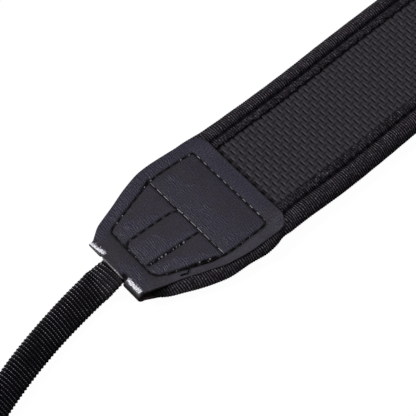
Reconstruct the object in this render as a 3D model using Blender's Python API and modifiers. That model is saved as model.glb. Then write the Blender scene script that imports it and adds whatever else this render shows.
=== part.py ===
"""A camera neck strap lying on a table: a padded band with bound edges, a folded leather tab at
each end, and a narrow webbing from each tab that doubles back through a plain slider into a loop.

X runs along the strap, Y across it and Z up from the table. Left is the -X end.
The origin is under the middle of the whole strap's box.
Run it with: blender --background --python part.py
"""

import math
from collections import namedtuple

import bmesh
import bpy

MM = 0.001


def table(columns, rows, degrees=()):
    """Name a table's columns and turn its millimetres into metres; columns in degrees stay."""
    names = columns.split()
    row_type = namedtuple("Row", names)
    scales = [1 if name in degrees else MM for name in names]
    return [row_type(*(value * scale for value, scale in zip(row, scales))) for row in rows]


# Driving dimensions of the padded band
STRAP_LENGTH = 480 * MM         # from the outside of one tab's fold to the other's
BAND_THICK = 5.6 * MM
FOAM_TOP = 3.7 * MM             # the foam's upper face in the band's plain section
FOAM_FOOT = 0.4 * MM            # the foam's underside between the bindings
FOAM_LEDGE = 1.3 * MM           # the foam's underside where it sits in the bindings
FOAM_EDGE_INSET = 3.0 * MM      # the foam's edge, in from the band's outer edge
FOAM_FOOT_INSET = 8.5 * MM
PANEL_HALF = 13.5 * MM
PANEL_THICK = 1.0 * MM
GAP = 0.3 * MM                  # clearance between neighbouring pieces

# Where each piece of the band ends, from the fold
FOAM_FROM_FOLD = 14 * MM
PANEL_FROM_FOLD = 33 * MM
BINDING_FROM_FOLD = 7 * MM

# End tabs
LEATHER = 1.2 * MM
FOLD_RADIUS = 2.3 * MM          # outside of the fold
TAB_LENGTH = 50.4 * MM
TAB_HALF = 21.1 * MM
TAB_CORNER = 4.5 * MM           # radius of the wide end's corners
SLOT_HALF = 5.6 * MM            # half the slot's width
SLOT_ANGLE = 65                 # degrees round the fold that the slot spans, both up and down
SEAM_INSET = 4.5 * MM           # the seam along the tab's outline
NARROW_SEAM = 8.2 * MM          # the three seams across the tab, from the fold
CROSS_SEAM = 28 * MM
WIDE_SEAM = 44.8 * MM
PUFF = 0.5 * MM                 # the upper leather swells this much between its seams

# The strap's ends curl up off the table towards their folds
END_LIFT = 2.5 * MM
LIFT_LENGTH = 34 * MM

# Webbing
WEB_WIDTH = 10.2 * MM
WEB_THICK = 1.4 * MM
WEB_OFFSET = 0.8 * MM           # it leaves the tab a little off the middle
WEB_STEP = 5 * MM               # longest stretch between two of its sections
WEB_STEP_TURN = 9               # most degrees of turn or twist between two of its sections
TAIL_START_HEADING = 7          # degrees towards -Y of straight out from the tab

# The loop at the webbing's end, and the slider that closes it
LAYER_PITCH = WEB_THICK + GAP   # between the two layers in the slider
FLARE_RADIUS = 20 * MM          # of the bend by which each layer turns aside
FLARE_TURN = 40                 # degrees of that bend
LOOP_FACETS = 13                # odd, so that one flat facet lies across the loop's tip
RETURN_LENGTH = 28 * MM         # the layer that comes back through the slider
SLIDER_LENGTH = 10 * MM
SLIDER_WALL = 1.2 * MM
SLIDER_FROM_LOOP = 4 * MM
SLIDER_EDGE = 0.5 * MM          # rounding of its outer edges

SHARP_ANGLE = 40                # degrees

# The band near each end: half its width, and the heights of its underside, foam and top. These
# heights, the tab's and the inner webbing's are before the strap's ends curl up.
BAND_END = table("from_fold half_width underside foam_top top", [
    (7, 14.6, 1.5, 2.3, 3.7),
    (10, 16.6, 1.5, 2.6, 4.1),
    (14, 18.8, 1.5, 2.9, 4.6),
    (21, 21.6, 1.5, 3.4, 5.2),
    (28, 22.8, 1.5, 3.8, 5.5),
    (36, 23.0, 1.5, 4.2, 5.6),
    (46, 22.8, 1.5, 4.2, 5.6),
    (52, 22.2, 1.4, 4.2, 5.65),
    (60, 22.0, 0.9, 4.2, 5.9),
    (72, 22.0, 0.3, 3.9, 5.8),
    (90, 22.0, 0.0, 3.7, 5.6),
])

# The binding's section: distance in from the band's outer edge, and height in the plain section
BINDING_SECTION = table("inset height", [
    (8.2, 4.0),
    (8.2, 4.9),
    (7.4, 5.35),
    (6.4, 5.35),
    (5.5, 4.85),
    (4.7, 5.2),
    (3.4, 5.6),
    (1.8, 5.25),
    (0.5, 4.2),
    (0.0, 2.8),
    (0.5, 1.4),
    (1.8, 0.35),
    (3.2, 0.0),
    (4.7, 0.0),
    (5.5, 0.35),
    (6.4, 0.1),
    (8.2, 0.1),
    (8.2, 1.0),
    (2.7, 1.0),
    (2.7, 4.0),
])

# The tab from its fold to its wide end, whose corners are rounded on top of this
TAB_SHAPE = table("from_fold half_width top", [
    (2.3, 11.8, 4.6),
    (7, 13.5, 5.25),
    (14, 16.0, 6.1),
    (21, 18.6, 6.7),
    (28, 20.3, 7.0),
    (38, 21.1, 7.1),
    (50.4, 21.1, 7.1),
])

# The webbing inside the tab: the height of its middle
INNER_WEB = table("from_fold height", [
    (30, 4.95),
    (28, 4.85),
    (21, 4.5),
    (14, 3.9),
    (7, 3.05),
    (2.3, 2.3),
    (0, 2.3),
])

# The webbing outside the tab, leg by leg: its length and turn towards -Y, and at its end the
# height of the lower edge above the table and the twist from lying flat to standing on edge.
# On the last legs the lower edge clears the table by the slider's wall and the gap inside it.
TAIL_LEGS = table("length lift turn twist", [
    (3, 3.4, 0.6, 6),
    (5, 0.9, 1.2, 38),
    (22, 0.5, 5.7, 45),
    (32, 0.1, 9.5, 50),
    (33, 0.1, 18, 90),
    (70, 1.5, 48, 90),
    (38, 1.5, 0, 90),
], degrees=("turn", "twist"))


def between(rows, at, column):
    """Read a named column at a value of the first column, straight between the table's rows."""
    values = [getattr(row, column) for row in rows]
    if at <= rows[0][0]:
        return values[0]
    for i in range(1, len(rows)):
        if at <= rows[i][0]:
            share = (at - rows[i - 1][0]) / (rows[i][0] - rows[i - 1][0])
            return values[i - 1] + share * (values[i] - values[i - 1])
    return values[-1]


def curl(from_fold):
    """Give how far the strap's end curls up at this distance from its fold."""
    return END_LIFT * max(0, 1 - from_fold / LIFT_LENGTH) ** 2


def make_material(name, colour, roughness):
    """Make a plain material of one colour."""
    material = bpy.data.materials.new(name)
    material.use_nodes = True
    shader = material.node_tree.nodes["Principled BSDF"]
    shader.inputs["Base Color"].default_value = (*colour, 1)
    shader.inputs["Roughness"].default_value = roughness
    return material


def add_piece(name, bm, material, collection):
    """Turn a bmesh into an object with its own material, smooth but for its sharp edges."""
    mesh = bpy.data.meshes.new(name)
    bm.to_mesh(mesh)
    bm.free()
    mesh.shade_smooth()
    mesh.set_sharp_from_angle(angle=math.radians(SHARP_ANGLE))
    mesh.materials.append(material)
    piece = bpy.data.objects.new(name, mesh)
    collection.objects.link(piece)
    return piece


def loft(name, sections, material, collection):
    """Join closed sections with the same number of points into one closed body."""
    bm = bmesh.new()
    rings = [[bm.verts.new(point) for point in section] for section in sections]
    count = len(sections[0])
    for ring, following in zip(rings, rings[1:]):
        for i in range(count):
            j = (i + 1) % count
            bm.faces.new((ring[i], ring[j], following[j], following[i]))
    bm.faces.new(rings[0])
    bm.faces.new(rings[-1])
    bmesh.ops.recalc_face_normals(bm, faces=bm.faces)
    return add_piece(name, bm, material, collection)


def thick_sheet(name, rows, thickness, offset, material, collection, holes=(), flip=False):
    """Make a grid from rows of points, without its (row, column) holes, and thicken it."""
    bm = bmesh.new()
    grid = [[bm.verts.new(point) for point in row] for row in rows]
    for i in range(len(rows) - 1):
        for j in range(len(rows[0]) - 1):
            if (i, j) in holes:
                continue
            corners = [grid[i][j], grid[i][j + 1], grid[i + 1][j + 1], grid[i + 1][j]]
            bm.faces.new(reversed(corners) if flip else corners)
    loose = [vert for vert in bm.verts if not vert.link_faces]
    bmesh.ops.delete(bm, geom=loose, context="VERTS")
    piece = add_piece(name, bm, material, collection)
    solidify = piece.modifiers.new("thickness", "SOLIDIFY")
    solidify.thickness = thickness
    solidify.offset = offset
    return piece


def band_stations(clear_of_fold):
    """List where the band's sections lie, from one end to the other, as (x, distance from fold)."""
    half = STRAP_LENGTH / 2
    places = [row.from_fold for row in BAND_END if row.from_fold > clear_of_fold]
    places.insert(0, clear_of_fold)
    left = [(from_fold - half, from_fold) for from_fold in places]
    right = [(half - from_fold, from_fold) for from_fold in reversed(places)]
    return left + right


def band_height(height, from_fold):
    """Give the height near the band's end of a point at this height in its plain section."""
    underside = between(BAND_END, from_fold, "underside")
    foam_top = between(BAND_END, from_fold, "foam_top")
    top = between(BAND_END, from_fold, "top")
    lift = curl(from_fold)
    if height <= FOAM_TOP:
        return lift + underside + height / FOAM_TOP * (foam_top - underside)
    return lift + foam_top + (height - FOAM_TOP) / (BAND_THICK - FOAM_TOP) * (top - foam_top)


def make_foam(band_y, material, collection):
    """Make the foam body: its edges sit in the bindings, and its foot fills the space between."""
    sections = []
    for x, from_fold in band_stations(FOAM_FROM_FOLD):
        edge = between(BAND_END, from_fold, "half_width")
        half_outline = [
            (edge - FOAM_FOOT_INSET, FOAM_FOOT),
            (edge - FOAM_FOOT_INSET, FOAM_LEDGE),
            (edge - FOAM_EDGE_INSET, FOAM_LEDGE),
            (edge - FOAM_EDGE_INSET, FOAM_TOP),
        ]
        outline = half_outline + [(-y, z) for y, z in reversed(half_outline)]
        sections.append([(x, band_y + y, band_height(z, from_fold)) for y, z in outline])
    return loft("padded_band", sections, material, collection)


def make_panel(band_y, material, collection):
    """Make the woven facing that lies on the foam between the bindings."""
    rows = []
    for x, from_fold in band_stations(PANEL_FROM_FOLD):
        z = band_height(FOAM_TOP + GAP, from_fold)
        rows.append([(x, band_y + y, z) for y in (-PANEL_HALF, PANEL_HALF)])
    return thick_sheet("woven_panel", rows, PANEL_THICK, -1, material, collection)


def make_binding(name, side, band_y, material, collection):
    """Make one edge binding: folded round the foam's edge, with a roll, a groove and a strip."""
    sections = []
    for x, from_fold in band_stations(BINDING_FROM_FOLD):
        edge = between(BAND_END, from_fold, "half_width")
        sections.append([
            (x, band_y + side * (edge - point.inset), band_height(point.height, from_fold))
            for point in BINDING_SECTION
        ])
    return loft(name, sections, material, collection)


def tab_rows():
    """List the upper rows from the wide end, the fold's and the lower ones, each row as
    (distance from fold, half width, height)."""
    places = [row.from_fold for row in TAB_SHAPE] + [NARROW_SEAM, WIDE_SEAM]
    places = sorted(place for place in places if place < TAB_LENGTH - TAB_CORNER)
    shape = [(place, between(TAB_SHAPE, place, "half_width")) for place in places]
    for angle in (0, 45, 90):
        turn = math.radians(angle)
        from_fold = TAB_LENGTH - TAB_CORNER * (1 - math.sin(turn))
        shape.append((from_fold, TAB_HALF - TAB_CORNER * (1 - math.cos(turn))))
    fold = []
    for share in (1, 0.5, 0, -0.5, -1):
        turn = math.radians(SLOT_ANGLE * share)
        from_fold = FOLD_RADIUS * (1 - math.cos(turn))
        fold.append((from_fold, TAB_SHAPE[0].half_width, FOLD_RADIUS * (1 + math.sin(turn))))
    upper = [(at, half, between(TAB_SHAPE, at, "top")) for at, half in reversed(shape)]
    lower = [(at, half, 0.0) for at, half in shape]
    return upper, fold, lower


def swell(value, lines):
    """Give a bump that is 0 on each line and 1 halfway between two."""
    for low, high in zip(lines, lines[1:]):
        if low < value < high:
            return math.sin(math.pi * (value - low) / (high - low))
    return 0


def puff(from_fold, y, half_width):
    """Give how far the upper leather swells between its seams."""
    outline = half_width - SEAM_INSET
    seams = [-outline, outline]
    if from_fold < CROSS_SEAM:
        seams[1:1] = [WEB_OFFSET - SLOT_HALF, WEB_OFFSET + SLOT_HALF]
    along = swell(from_fold, (NARROW_SEAM, CROSS_SEAM, WIDE_SEAM))
    return PUFF * along * swell(y, seams)


def make_tab(name, side, band_y, material, collection):
    """Make a leather tab: one sheet folded round the band's end, with a slot through its fold."""
    upper, fold, lower = tab_rows()
    slot = (WEB_OFFSET - SLOT_HALF, WEB_OFFSET, WEB_OFFSET + SLOT_HALF)
    rows = []
    for i, (from_fold, half, z) in enumerate(upper + fold + lower):
        seam = half - SEAM_INSET
        across = (-half, -seam, (slot[0] - seam) / 2, *slot, (slot[2] + seam) / 2, seam, half)
        x = side * (STRAP_LENGTH / 2 - from_fold)
        row = []
        for y in across:
            swelling = puff(from_fold, y, half) if i < len(upper) else 0
            row.append((x, band_y + y, z + curl(from_fold) + swelling))
        rows.append(row)
    slot_rows = range(len(upper), len(upper) + len(fold) - 1)
    slot_faces = {(row, column) for row in slot_rows for column in (3, 4)}
    return thick_sheet(name, rows, LEATHER, -1, material, collection, slot_faces, side > 0)


def smooth(share):
    """Ease a share between 0 and 1 in and out."""
    return share * share * (3 - 2 * share)


def loop_legs():
    """Give the legs of the end loop: a flare, the round end, a flare and the layer that returns."""
    lift = TAIL_LEGS[-1].lift
    twist = TAIL_LEGS[-1].twist
    flare = math.radians(FLARE_TURN)
    flare_length = FLARE_RADIUS * flare
    loop_radius = (LAYER_PITCH / 2 + FLARE_RADIUS * (1 - math.cos(flare))) / math.cos(flare)
    loop_turn = 180 + 2 * FLARE_TURN
    return [
        (flare_length, lift, -FLARE_TURN, twist),
        (loop_radius * math.radians(loop_turn), lift, loop_turn, twist),
        (flare_length, lift, -FLARE_TURN, twist),
        (RETURN_LENGTH, lift, 0, twist),
    ]


def tail_stations(legs):
    """Walk the left webbing's legs from the fold: (x, y, height of middle, heading, twist)."""
    x = y = 0.0
    heading = TAIL_START_HEADING
    twist = 0.0
    lift = INNER_WEB[-1].height + curl(0) - WEB_THICK / 2
    stations = []
    for length, end_lift, turn, end_twist in legs:
        finest = max(abs(turn), abs(end_twist - twist)) / WEB_STEP_TURN
        count = LOOP_FACETS if turn > 180 else math.ceil(max(length / WEB_STEP, finest))
        for i in range(1, count + 1):
            chord = math.radians(heading + turn * (i - 0.5) / count)
            x -= length / count * math.cos(chord)
            y -= length / count * math.sin(chord)
            share = smooth(i / count)
            turned = math.radians(twist + (end_twist - twist) * share)
            low = lift + (end_lift - lift) * share
            z = low + WEB_WIDTH / 2 * math.sin(turned) + WEB_THICK / 2 * math.cos(turned)
            stations.append((x, y, z, math.radians(heading + turn * i / count), turned))
        heading += turn
        twist = end_twist
        lift = end_lift
    return stations


def make_webbing(name, side, band_y, material, collection):
    """Make a webbing from inside its tab to its end: flat in the slot, then turned on edge."""
    middle = band_y + WEB_OFFSET
    half_width = WEB_WIDTH / 2
    rows = []
    for from_fold, height in INNER_WEB:
        x = side * (STRAP_LENGTH / 2 - from_fold)
        z = height + curl(from_fold)
        rows.append([(x, middle - half_width, z), (x, middle + half_width, z)])
    for x, y, z, heading, twist in tail_stations(TAIL_LEGS + loop_legs()):
        flat = half_width * math.cos(twist)
        rise = half_width * math.sin(twist)
        across = (side * flat * math.sin(heading), flat * math.cos(heading), rise)
        centre = (side * (STRAP_LENGTH / 2 - x), middle + y, z)
        near = tuple(c - a for c, a in zip(centre, across))
        far = tuple(c + a for c, a in zip(centre, across))
        rows.append([near, far])
    return thick_sheet(name, rows, WEB_THICK, 0, material, collection, flip=side > 0)


def add_box(name, size, place, collection):
    """Make a box of this size at this place."""
    bm = bmesh.new()
    bmesh.ops.create_cube(bm, size=1)
    bmesh.ops.scale(bm, vec=size, verts=bm.verts)
    mesh = bpy.data.meshes.new(name)
    bm.to_mesh(mesh)
    bm.free()
    box = bpy.data.objects.new(name, mesh)
    box.location = place
    collection.objects.link(box)
    return box


def make_slider(name, side, band_y, material, collection, cutters):
    """Make the plain sleeve that holds a webbing's two layers together before its end loop."""
    x, y, z, _, _ = tail_stations(TAIL_LEGS)[-1]
    place = (
        side * (STRAP_LENGTH / 2 - x - LAYER_PITCH / 2),
        band_y + WEB_OFFSET + y + SLIDER_FROM_LOOP + SLIDER_LENGTH / 2,
        z,
    )
    room = (WEB_THICK + LAYER_PITCH + 2 * GAP, 2 * SLIDER_LENGTH, WEB_WIDTH + 2 * GAP)
    outside = (room[0] + 2 * SLIDER_WALL, SLIDER_LENGTH, room[2] + 2 * SLIDER_WALL)
    cutter = add_box(name + "_cutter", room, place, cutters)
    cutter.hide_render = True
    cutter.display_type = "WIRE"
    slider = add_box(name, outside, place, collection)
    slider.data.materials.append(material)
    bevel = slider.modifiers.new("edges", "BEVEL")
    bevel.width = SLIDER_EDGE
    bevel.segments = 2
    opening = slider.modifiers.new("opening", "BOOLEAN")
    opening.operation = "DIFFERENCE"
    opening.object = cutter
    return slider


def middle_of_band():
    """Give the Y of the band's middle that puts the whole strap's box in the middle of Y."""
    far_edge = max(row.half_width for row in BAND_END)
    loop_tip = min(station[1] for station in tail_stations(TAIL_LEGS + loop_legs()))
    near_edge = WEB_OFFSET + loop_tip - WEB_THICK / 2
    return -(far_edge + near_edge) / 2


def main():
    """Clear the scene and make every piece of the strap."""
    for existing in list(bpy.data.objects):
        bpy.data.objects.remove(existing, do_unlink=True)
    strap = bpy.data.collections.new("camera_neck_strap")
    cutters = bpy.data.collections.new("cutters")
    for collection in (strap, cutters):
        bpy.context.scene.collection.children.link(collection)

    foam = make_material("foam", (0.020, 0.020, 0.022), 0.85)
    facing = make_material("woven_facing", (0.031, 0.029, 0.034), 0.5)
    knit = make_material("ribbed_knit", (0.018, 0.016, 0.019), 0.8)
    leather = make_material("leather", (0.036, 0.034, 0.041), 0.45)
    webbing = make_material("webbing", (0.010, 0.009, 0.011), 0.6)
    plastic = make_material("slider_plastic", (0.012, 0.012, 0.013), 0.4)

    band_y = middle_of_band()
    make_foam(band_y, foam, strap)
    make_panel(band_y, facing, strap)
    for place, side in (("far", 1), ("near", -1)):
        make_binding("edge_binding_" + place, side, band_y, knit, strap)
    for end, side in (("left", -1), ("right", 1)):
        make_tab("end_tab_" + end, side, band_y, leather, strap)
        make_webbing("webbing_" + end, side, band_y, webbing, strap)
        make_slider("slider_" + end, side, band_y, plastic, strap, cutters)


main()
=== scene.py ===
"""The looks of a camera neck strap that lies on a pale table.

A padded band with an embossed weave and knitted edge bindings, a stitched leather tab at each end,
and from each tab a ribbed webbing that ends in a loop behind a slider.

X runs along the strap, Y across it and Z up. Sizes are in millimetres, and become metres where a
mesh is made. Left is the -X end, and the far side is the +Y side.
"""

import math
from collections import namedtuple

import bpy
import numpy as np
from mathutils import Matrix, Vector, kdtree, noise


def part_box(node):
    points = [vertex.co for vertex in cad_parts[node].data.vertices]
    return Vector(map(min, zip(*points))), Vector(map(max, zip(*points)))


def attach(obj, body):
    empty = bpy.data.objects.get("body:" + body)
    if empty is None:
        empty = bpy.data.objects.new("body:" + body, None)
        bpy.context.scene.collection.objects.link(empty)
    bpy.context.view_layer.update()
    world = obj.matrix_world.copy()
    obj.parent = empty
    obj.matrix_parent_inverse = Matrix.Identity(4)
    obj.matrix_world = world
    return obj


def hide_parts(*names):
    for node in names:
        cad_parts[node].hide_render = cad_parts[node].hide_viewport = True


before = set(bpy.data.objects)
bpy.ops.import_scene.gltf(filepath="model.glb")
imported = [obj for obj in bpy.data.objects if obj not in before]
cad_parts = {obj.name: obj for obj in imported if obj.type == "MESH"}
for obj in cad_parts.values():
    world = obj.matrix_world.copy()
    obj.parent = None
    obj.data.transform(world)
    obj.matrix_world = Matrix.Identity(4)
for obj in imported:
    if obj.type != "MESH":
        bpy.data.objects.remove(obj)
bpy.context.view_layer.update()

MM = 0.001
ROOT = "root"


def table(columns, *rows):
    """Name a table's columns, each an array."""
    return namedtuple("Table", columns)(*np.array(rows, float).T)


def node_box(node):
    """Give a node's lowest and highest corners in millimetres."""
    low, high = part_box(node)
    return np.array(low) / MM, np.array(high) / MM


# Sizes read from the frame
STRAP_HALF = -node_box("end_tab_left")[0][0]
BAND_Y = float(np.mean([corner[1] for corner in node_box("padded_band")]))
BINDING_HALF = node_box("edge_binding_far")[1][0] + 2.2  # its ends are tucked into the fold
PANEL_REACH = node_box("woven_panel")[1][0]
FOAM_REACH = node_box("padded_band")[1][0]

# The padded band
BAND_THICK = 5.6
FOAM_TOP = 3.7
PANEL_TOP = 5.0
END_LIFT = 2.5  # the strap's ends curl up this much at the fold
LIFT_LENGTH = 34
TABLE_GAP = 0.01  # what lies on the table keeps this far off it

BAND_END = table(
    "from_fold half_width underside foam_top top",
    (4.8, 13.5, 1.5, 2.2, 3.6),
    (7, 15.0, 1.5, 2.3, 3.7),
    (10, 16.9, 1.5, 2.6, 4.1),
    (14, 18.6, 1.5, 2.9, 4.6),
    (21, 21.3, 1.5, 3.4, 5.2),
    (28, 22.8, 1.5, 3.8, 5.5),
    (36, 23.0, 1.5, 4.2, 5.6),
    (46, 22.8, 1.5, 4.2, 5.6),
    (52, 22.2, 1.4, 4.2, 5.65),
    (60, 22.0, 0.9, 4.2, 5.9),
    (72, 22.0, 0.3, 3.9, 5.8),
    (90, 22.0, 0.0, 3.7, 5.6),
)

# The band lies in a slight curve: how far its middle leaves the straight line
SWAY = table(
    "from_fold across",
    (0, 0.0), (32, 0.0), (42, -0.45), (60, -0.42), (76, -0.27), (84, -0.08), (92, 0.22), (100, 0.6),
    (108, 0.87), (116, 1.1), (132, 1.4), (240, 1.5),
)

# The foam: its side under a binding, and its backing between the bindings
FOAM_STEP = 1.5
FOAM_SIDE = table("inset height", (8.4, 3.8), (5.6, 3.75), (3, 3.7), (3, 1.4), (8.5, 1.3), (8.6, 0.62))
BACKING_INSET = 9.0
BACKING_HEIGHT = 0.52
BACKING_CROWN = 0.10  # the backing hangs this much lower at its middle
BACKING_COLUMNS = 24

# The embossed weave: threads cross every half repeat, and leave a slit or a dash at each crossing
WEAVE = 3.75  # one repeat of the weave, both along and across the strap
SLIT_LENGTH = 2.3
SLIT_DEPTH = 0.34
SLIT_BOW = 0.08  # its middle is set back this much towards the left tab
SLIT_FALL, SLIT_FLOOR, SLIT_RISE = -0.44, 0.02, 0.28  # its two walls and its floor
SHADE_AT, SHADE_WIDTH = -0.10, 0.28  # the painted shade along it
DASH_LENGTH = 1.9
DASH_WIDTH = 0.31
DASH_DEPTH = 0.28
DASH_LEAN = 0.20
DASH_SHADE = 0.68  # how dark a dash's painted shade is beside a slit
RIDGE_AT, RIDGE_WIDTH, RIDGE_HEIGHT = 0.38, 0.20, 0.06  # a low ridge stands beside each slit
RIDGE_LENGTH = 1.8
SLIT_END, RIDGE_END, DASH_END = 0.09, 0.16, 0.12  # how softly their ends fade
PANEL_HALF = 13.9
PANEL_THICK = 1.0
PANEL_SEAT = 0.02  # the facing's top and underside keep this far inside its solid
PANEL_FADE = 0.6  # the relief fades over this much of its margin
STRIP_SHADE = 0.42  # how far the shade of a binding's strip reaches on it
TAB_SHADE_AT, TAB_SHADE = 0.35, 0.5  # where the shade of a tab lies past the tab, and its reach
PANEL_FINE = 8  # steps of its top grid to one of the grid underneath

# Where the facing's grid has its lines, from each crossing of the weave
LINES_ALONG = np.array([-0.46, -0.22, 0.0, 0.22, 0.48, 0.95])
LINES_ACROSS = np.array([-0.26, 0.0, 0.26, 0.66, 1.21])

# The knitted binding
RIB = 0.77  # pitch of its fine ribs
RIB_STEPS = 4  # rings to a rib
RIB_DEPTH = 0.17
BINDING_STITCH = 3.2
BINDING_STITCH_HEIGHT = 4.72
HOLE_DEPTH = 0.3  # its stitches pull the groove in this much
STRIP_SLANT = 0.7  # and leave slanted lobes on the inner strip
LOBE_RISE = 0.22
LOBE_REACH = 0.4
KNIT_ROUGH = 0.035  # how uneven the strip's loops are
WAVER = 0.12  # how far its ribs stray along the strap
GROOVE_INSET = 5.5  # the stitched groove, in from the band's outer edge
GROOVE_WIDTH = 0.55
STRIP_EDGE = 13.45  # the inner strip's edge on the facing, from the band's middle

BINDING_SECTION = table(
    "inset height",
    (8.0, 4.1), (8.0, 5.02), (8.45, 5.1), (8.55, 5.3), (8.3, 5.58), (7.7, 5.72), (6.9, 5.66),
    (6.3, 5.42), (5.9, 5.02), (5.5, 4.8), (5.15, 4.98), (4.8, 5.32), (4.2, 5.6), (3.4, 5.7),
    (2.5, 5.55), (1.7, 5.12), (1.0, 4.5), (0.4, 3.7), (0.05, 2.8), (0.15, 1.9), (0.6, 1.1),
    (1.4, 0.45), (2.6, 0.06), (4.4, 0.04), (5.5, 0.4), (6.6, 0.1), (8.2, 0.12), (8.2, 1.0),
    (2.7, 1.0), (2.7, 4.1),
)
SECTION_HIDDEN = 3  # its last points lie inside

# Where a binding bulges out or in: on which side, where, over what reach and how far
BINDING_BULGES = table(
    "side from_fold reach rise",
    (1, 22, 11, -0.6),
    (-1, 39, 4, 0.5),
    (-1, 6, 3, 0.4),
    (-1, 70, 14, 0.25),
    (-1, 47, 2.2, -0.6),
)

# The leather tab
LEATHER = 1.2
THINNEST = 0.15
FOLD_RADIUS = 2.3
TAB_LENGTH = 51.0
TAB_CORNER = 4.5
TAB_FINE = 4  # steps of its outer grid to one of its inner grid
RIM = 0.42  # rounding of the leather's cut edges
LIP_DROP = (0.35, 0.9)  # the upper leather's far and near edges come down this much
LIP_REACH = 4.2  # over this much of its margin
LIP_THIN = 0.55  # and lose this share of their thickness
SLOT_HALF = 5.45
SLOT_MIDDLE = 0.95
SLOT_TOP = 42  # the slot runs from this angle above the fold's middle
SLOT_FOOT = -65  # to this one below it
TONGUE_LIFT = 0.75  # over the slot the leather lies this much flatter, as a share
PINCH = 0.45  # the fold is pressed this much flatter at its far end
PINCH_REACH = 8.0
TUCK = 1.5  # and its underside is drawn back this much there
SKIVED = 0.3  # and its leather is this share thinner there
NOTCH = (2.7, -3.6, 1.1)  # a small dent beside the slot: place, place across and radius
NOTCH_DEPTH = 0.55
CRINKLE = 0.16  # roughness of the patches of painted glare on the fold
PATCH_AT = 2.75  # they lie this far from the fold's middle line
PATCH_FADE = (1.35, 2.1)  # and fade over this much towards it and away from it
PATCH_LEAN, PATCH_PIVOT = 0.17, 9  # the far one leans, about this place across
EDGE_HIGHLIGHT_AT, EDGE_HIGHLIGHT_WIDTH, EDGE_HIGHLIGHT_GLARE = 0.3, 0.28, 0.84  # the painted highlight on the leather's edge over the slot, and the share of painted glare it gets
FRONT_SHADE = 0.75  # how dark the painted shade on the fold's front is, on its near part
WEB_OFFSET = 0.8  # the webbing lies this far off the band's middle

TAB_SHAPE = table(
    "from_fold half_width top",
    (2.3, 11.7, 4.6),
    (7, 13.8, 5.25),
    (14, 16.1, 6.1),
    (21, 18.6, 6.7),
    (28, 20.3, 7.0),
    (38, 21.1, 6.9),
    (44.8, 21.1, 6.5),
    (51.0, 21.1, 6.25),
)

# The upper leather lies askew: how much further it reaches out on its far and near sides
SPREAD = table(
    "from_fold far near",
    (2.3, 0.2, 0.0),
    (7, 1.2, -0.6),
    (14, 1.25, -1.0),
    (21, 1.2, -0.8),
    (28, 1.1, -0.1),
    (38, 0.1, 0.25),
    (51.0, -0.5, 0.0),
)

STITCH = 2.95  # pitch of the tab's stitches
THREAD = 0.18  # radius


def seam_path(*corners):
    """Name a seam's corners: distance from the fold, place across and the corner's radius."""
    return table("from_fold across radius", *corners)


# The tab's seams, each with the pitch of its stitches, the gap between them, their radius and their
# gloss, which sets their painted highlights: at gloss 0 some ends get one, above 0 most middles do
# too, and below 0 neither.
Seam = namedtuple("Seam", "path pitch gap radius gloss")
OUTLINE = seam_path((44.8, 16.3, 1.0), (29.0, 17.1, 5.0), (8.2, 11.1, 1.8), (8.0, -9.4, 2.4),
                    (20.0, -14.8, 5.0), (28.0, -17.7, 6.0), (45.1, -17.3, 2.2))
UPPER = seam_path((27.9, 2.4, 0), (27.4, 4.1, 2.0), (9.0, 5.0, 1.8), (8.4, 3.2, 0))
DOUBLED = seam_path((26.2, -16.3, 0), (17.2, -13.2, 0), (11.6, -11.3, 0))
LOOSE_END = seam_path((17.5, -13.5, 0), (16.2, -14.9, 0.8), (13.6, -14.0, 0))
SEAMS = [
    Seam(OUTLINE, STITCH, 0.6, THREAD, 0),
    # across the tab
    Seam(seam_path((27.8, 16.5, 0), (28.2, -16.9, 0)), STITCH, 0.3, THREAD, 0),
    Seam(UPPER, STITCH, 0.7, THREAD, -1),
    # the lower seam and the tack on it
    Seam(seam_path((27.9, -6.4, 0), (8.4, -5.0, 0)), STITCH, 0.7, THREAD, -1),
    Seam(seam_path((22.6, -6.3, 0), (9.5, -5.5, 0)), 1.3, 0.25, 0.24, 0.9),
    Seam(DOUBLED, STITCH, 0.3, THREAD, 0),
    # a knot, and the thread's end
    Seam(seam_path((28.4, 17.4, 0), (24.6, 16.1, 0)), STITCH, 0.3, THREAD, -1),
    Seam(LOOSE_END, 2.2, 0.1, 0.16, -1),
]
MAIN_SEAMS = 4  # the first ones, which show on the underside too
CLOSE = 0.55  # a seam with gaps over this opens them further where it runs across

SEAM_STEP = 0.25  # between the points that a seam is walked in
CORNER_POINTS = 9
WIDE_SEAM = 44.8
END_PRESS = 0.40  # past the wide seam the leather is pressed down on the facing
SEAM_DEPTH = 0.26
SEAM_WIDTH = 0.45
SEAM_SHADE = 0.40  # half width of its line of painted shade
SEAM_FLOOR = 0.6  # a seam's groove goes down this share of its depth
SEAM_DIP = (0.08, 1.6)  # the leather sinks this much beside a seam, over this reach
HOLE_DIP = 0.12
THREAD_SHIFT = 0.19  # threads that run across the strap lie this far off the groove
SEAM_DARK = 1.3
RIPPLE = 0.80  # pitch of the leather's fine ripples across the strap
RIPPLE_LEAN = 0.06

PUFF = 0.65  # the leather swells this much between its seams
PUFF_REACH = 7.0
MARGIN_RISE = 0.4
MARGIN_REACH = 4.4
SWELL_BASE = 0.3  # the swell is counted from this height
SOFTNESS = 1.3  # how far the swell's own creases are smoothed out

# How much the leather's lean towards the light follows its slopes, inside the outline and past it
# the lean paints a bluish sheen on the leather and sets how strong its ripples are
SWELL_LEAN, MARGIN_LEAN = 2.8, 0.5
CORNER_CALM = 0.8  # it leans less by this share at the wide end's near corner

# The spots where it leans further: place, reach both ways, sharpness and strength
LEANING_SPOTS = table(
    "from_fold across along wide power rise",
    (3.8, -5.2, 4.0, 6.3, 4, 0.68),
    (5.0, 11.5, 2.5, 2.5, 2, 0.7),
)

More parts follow.
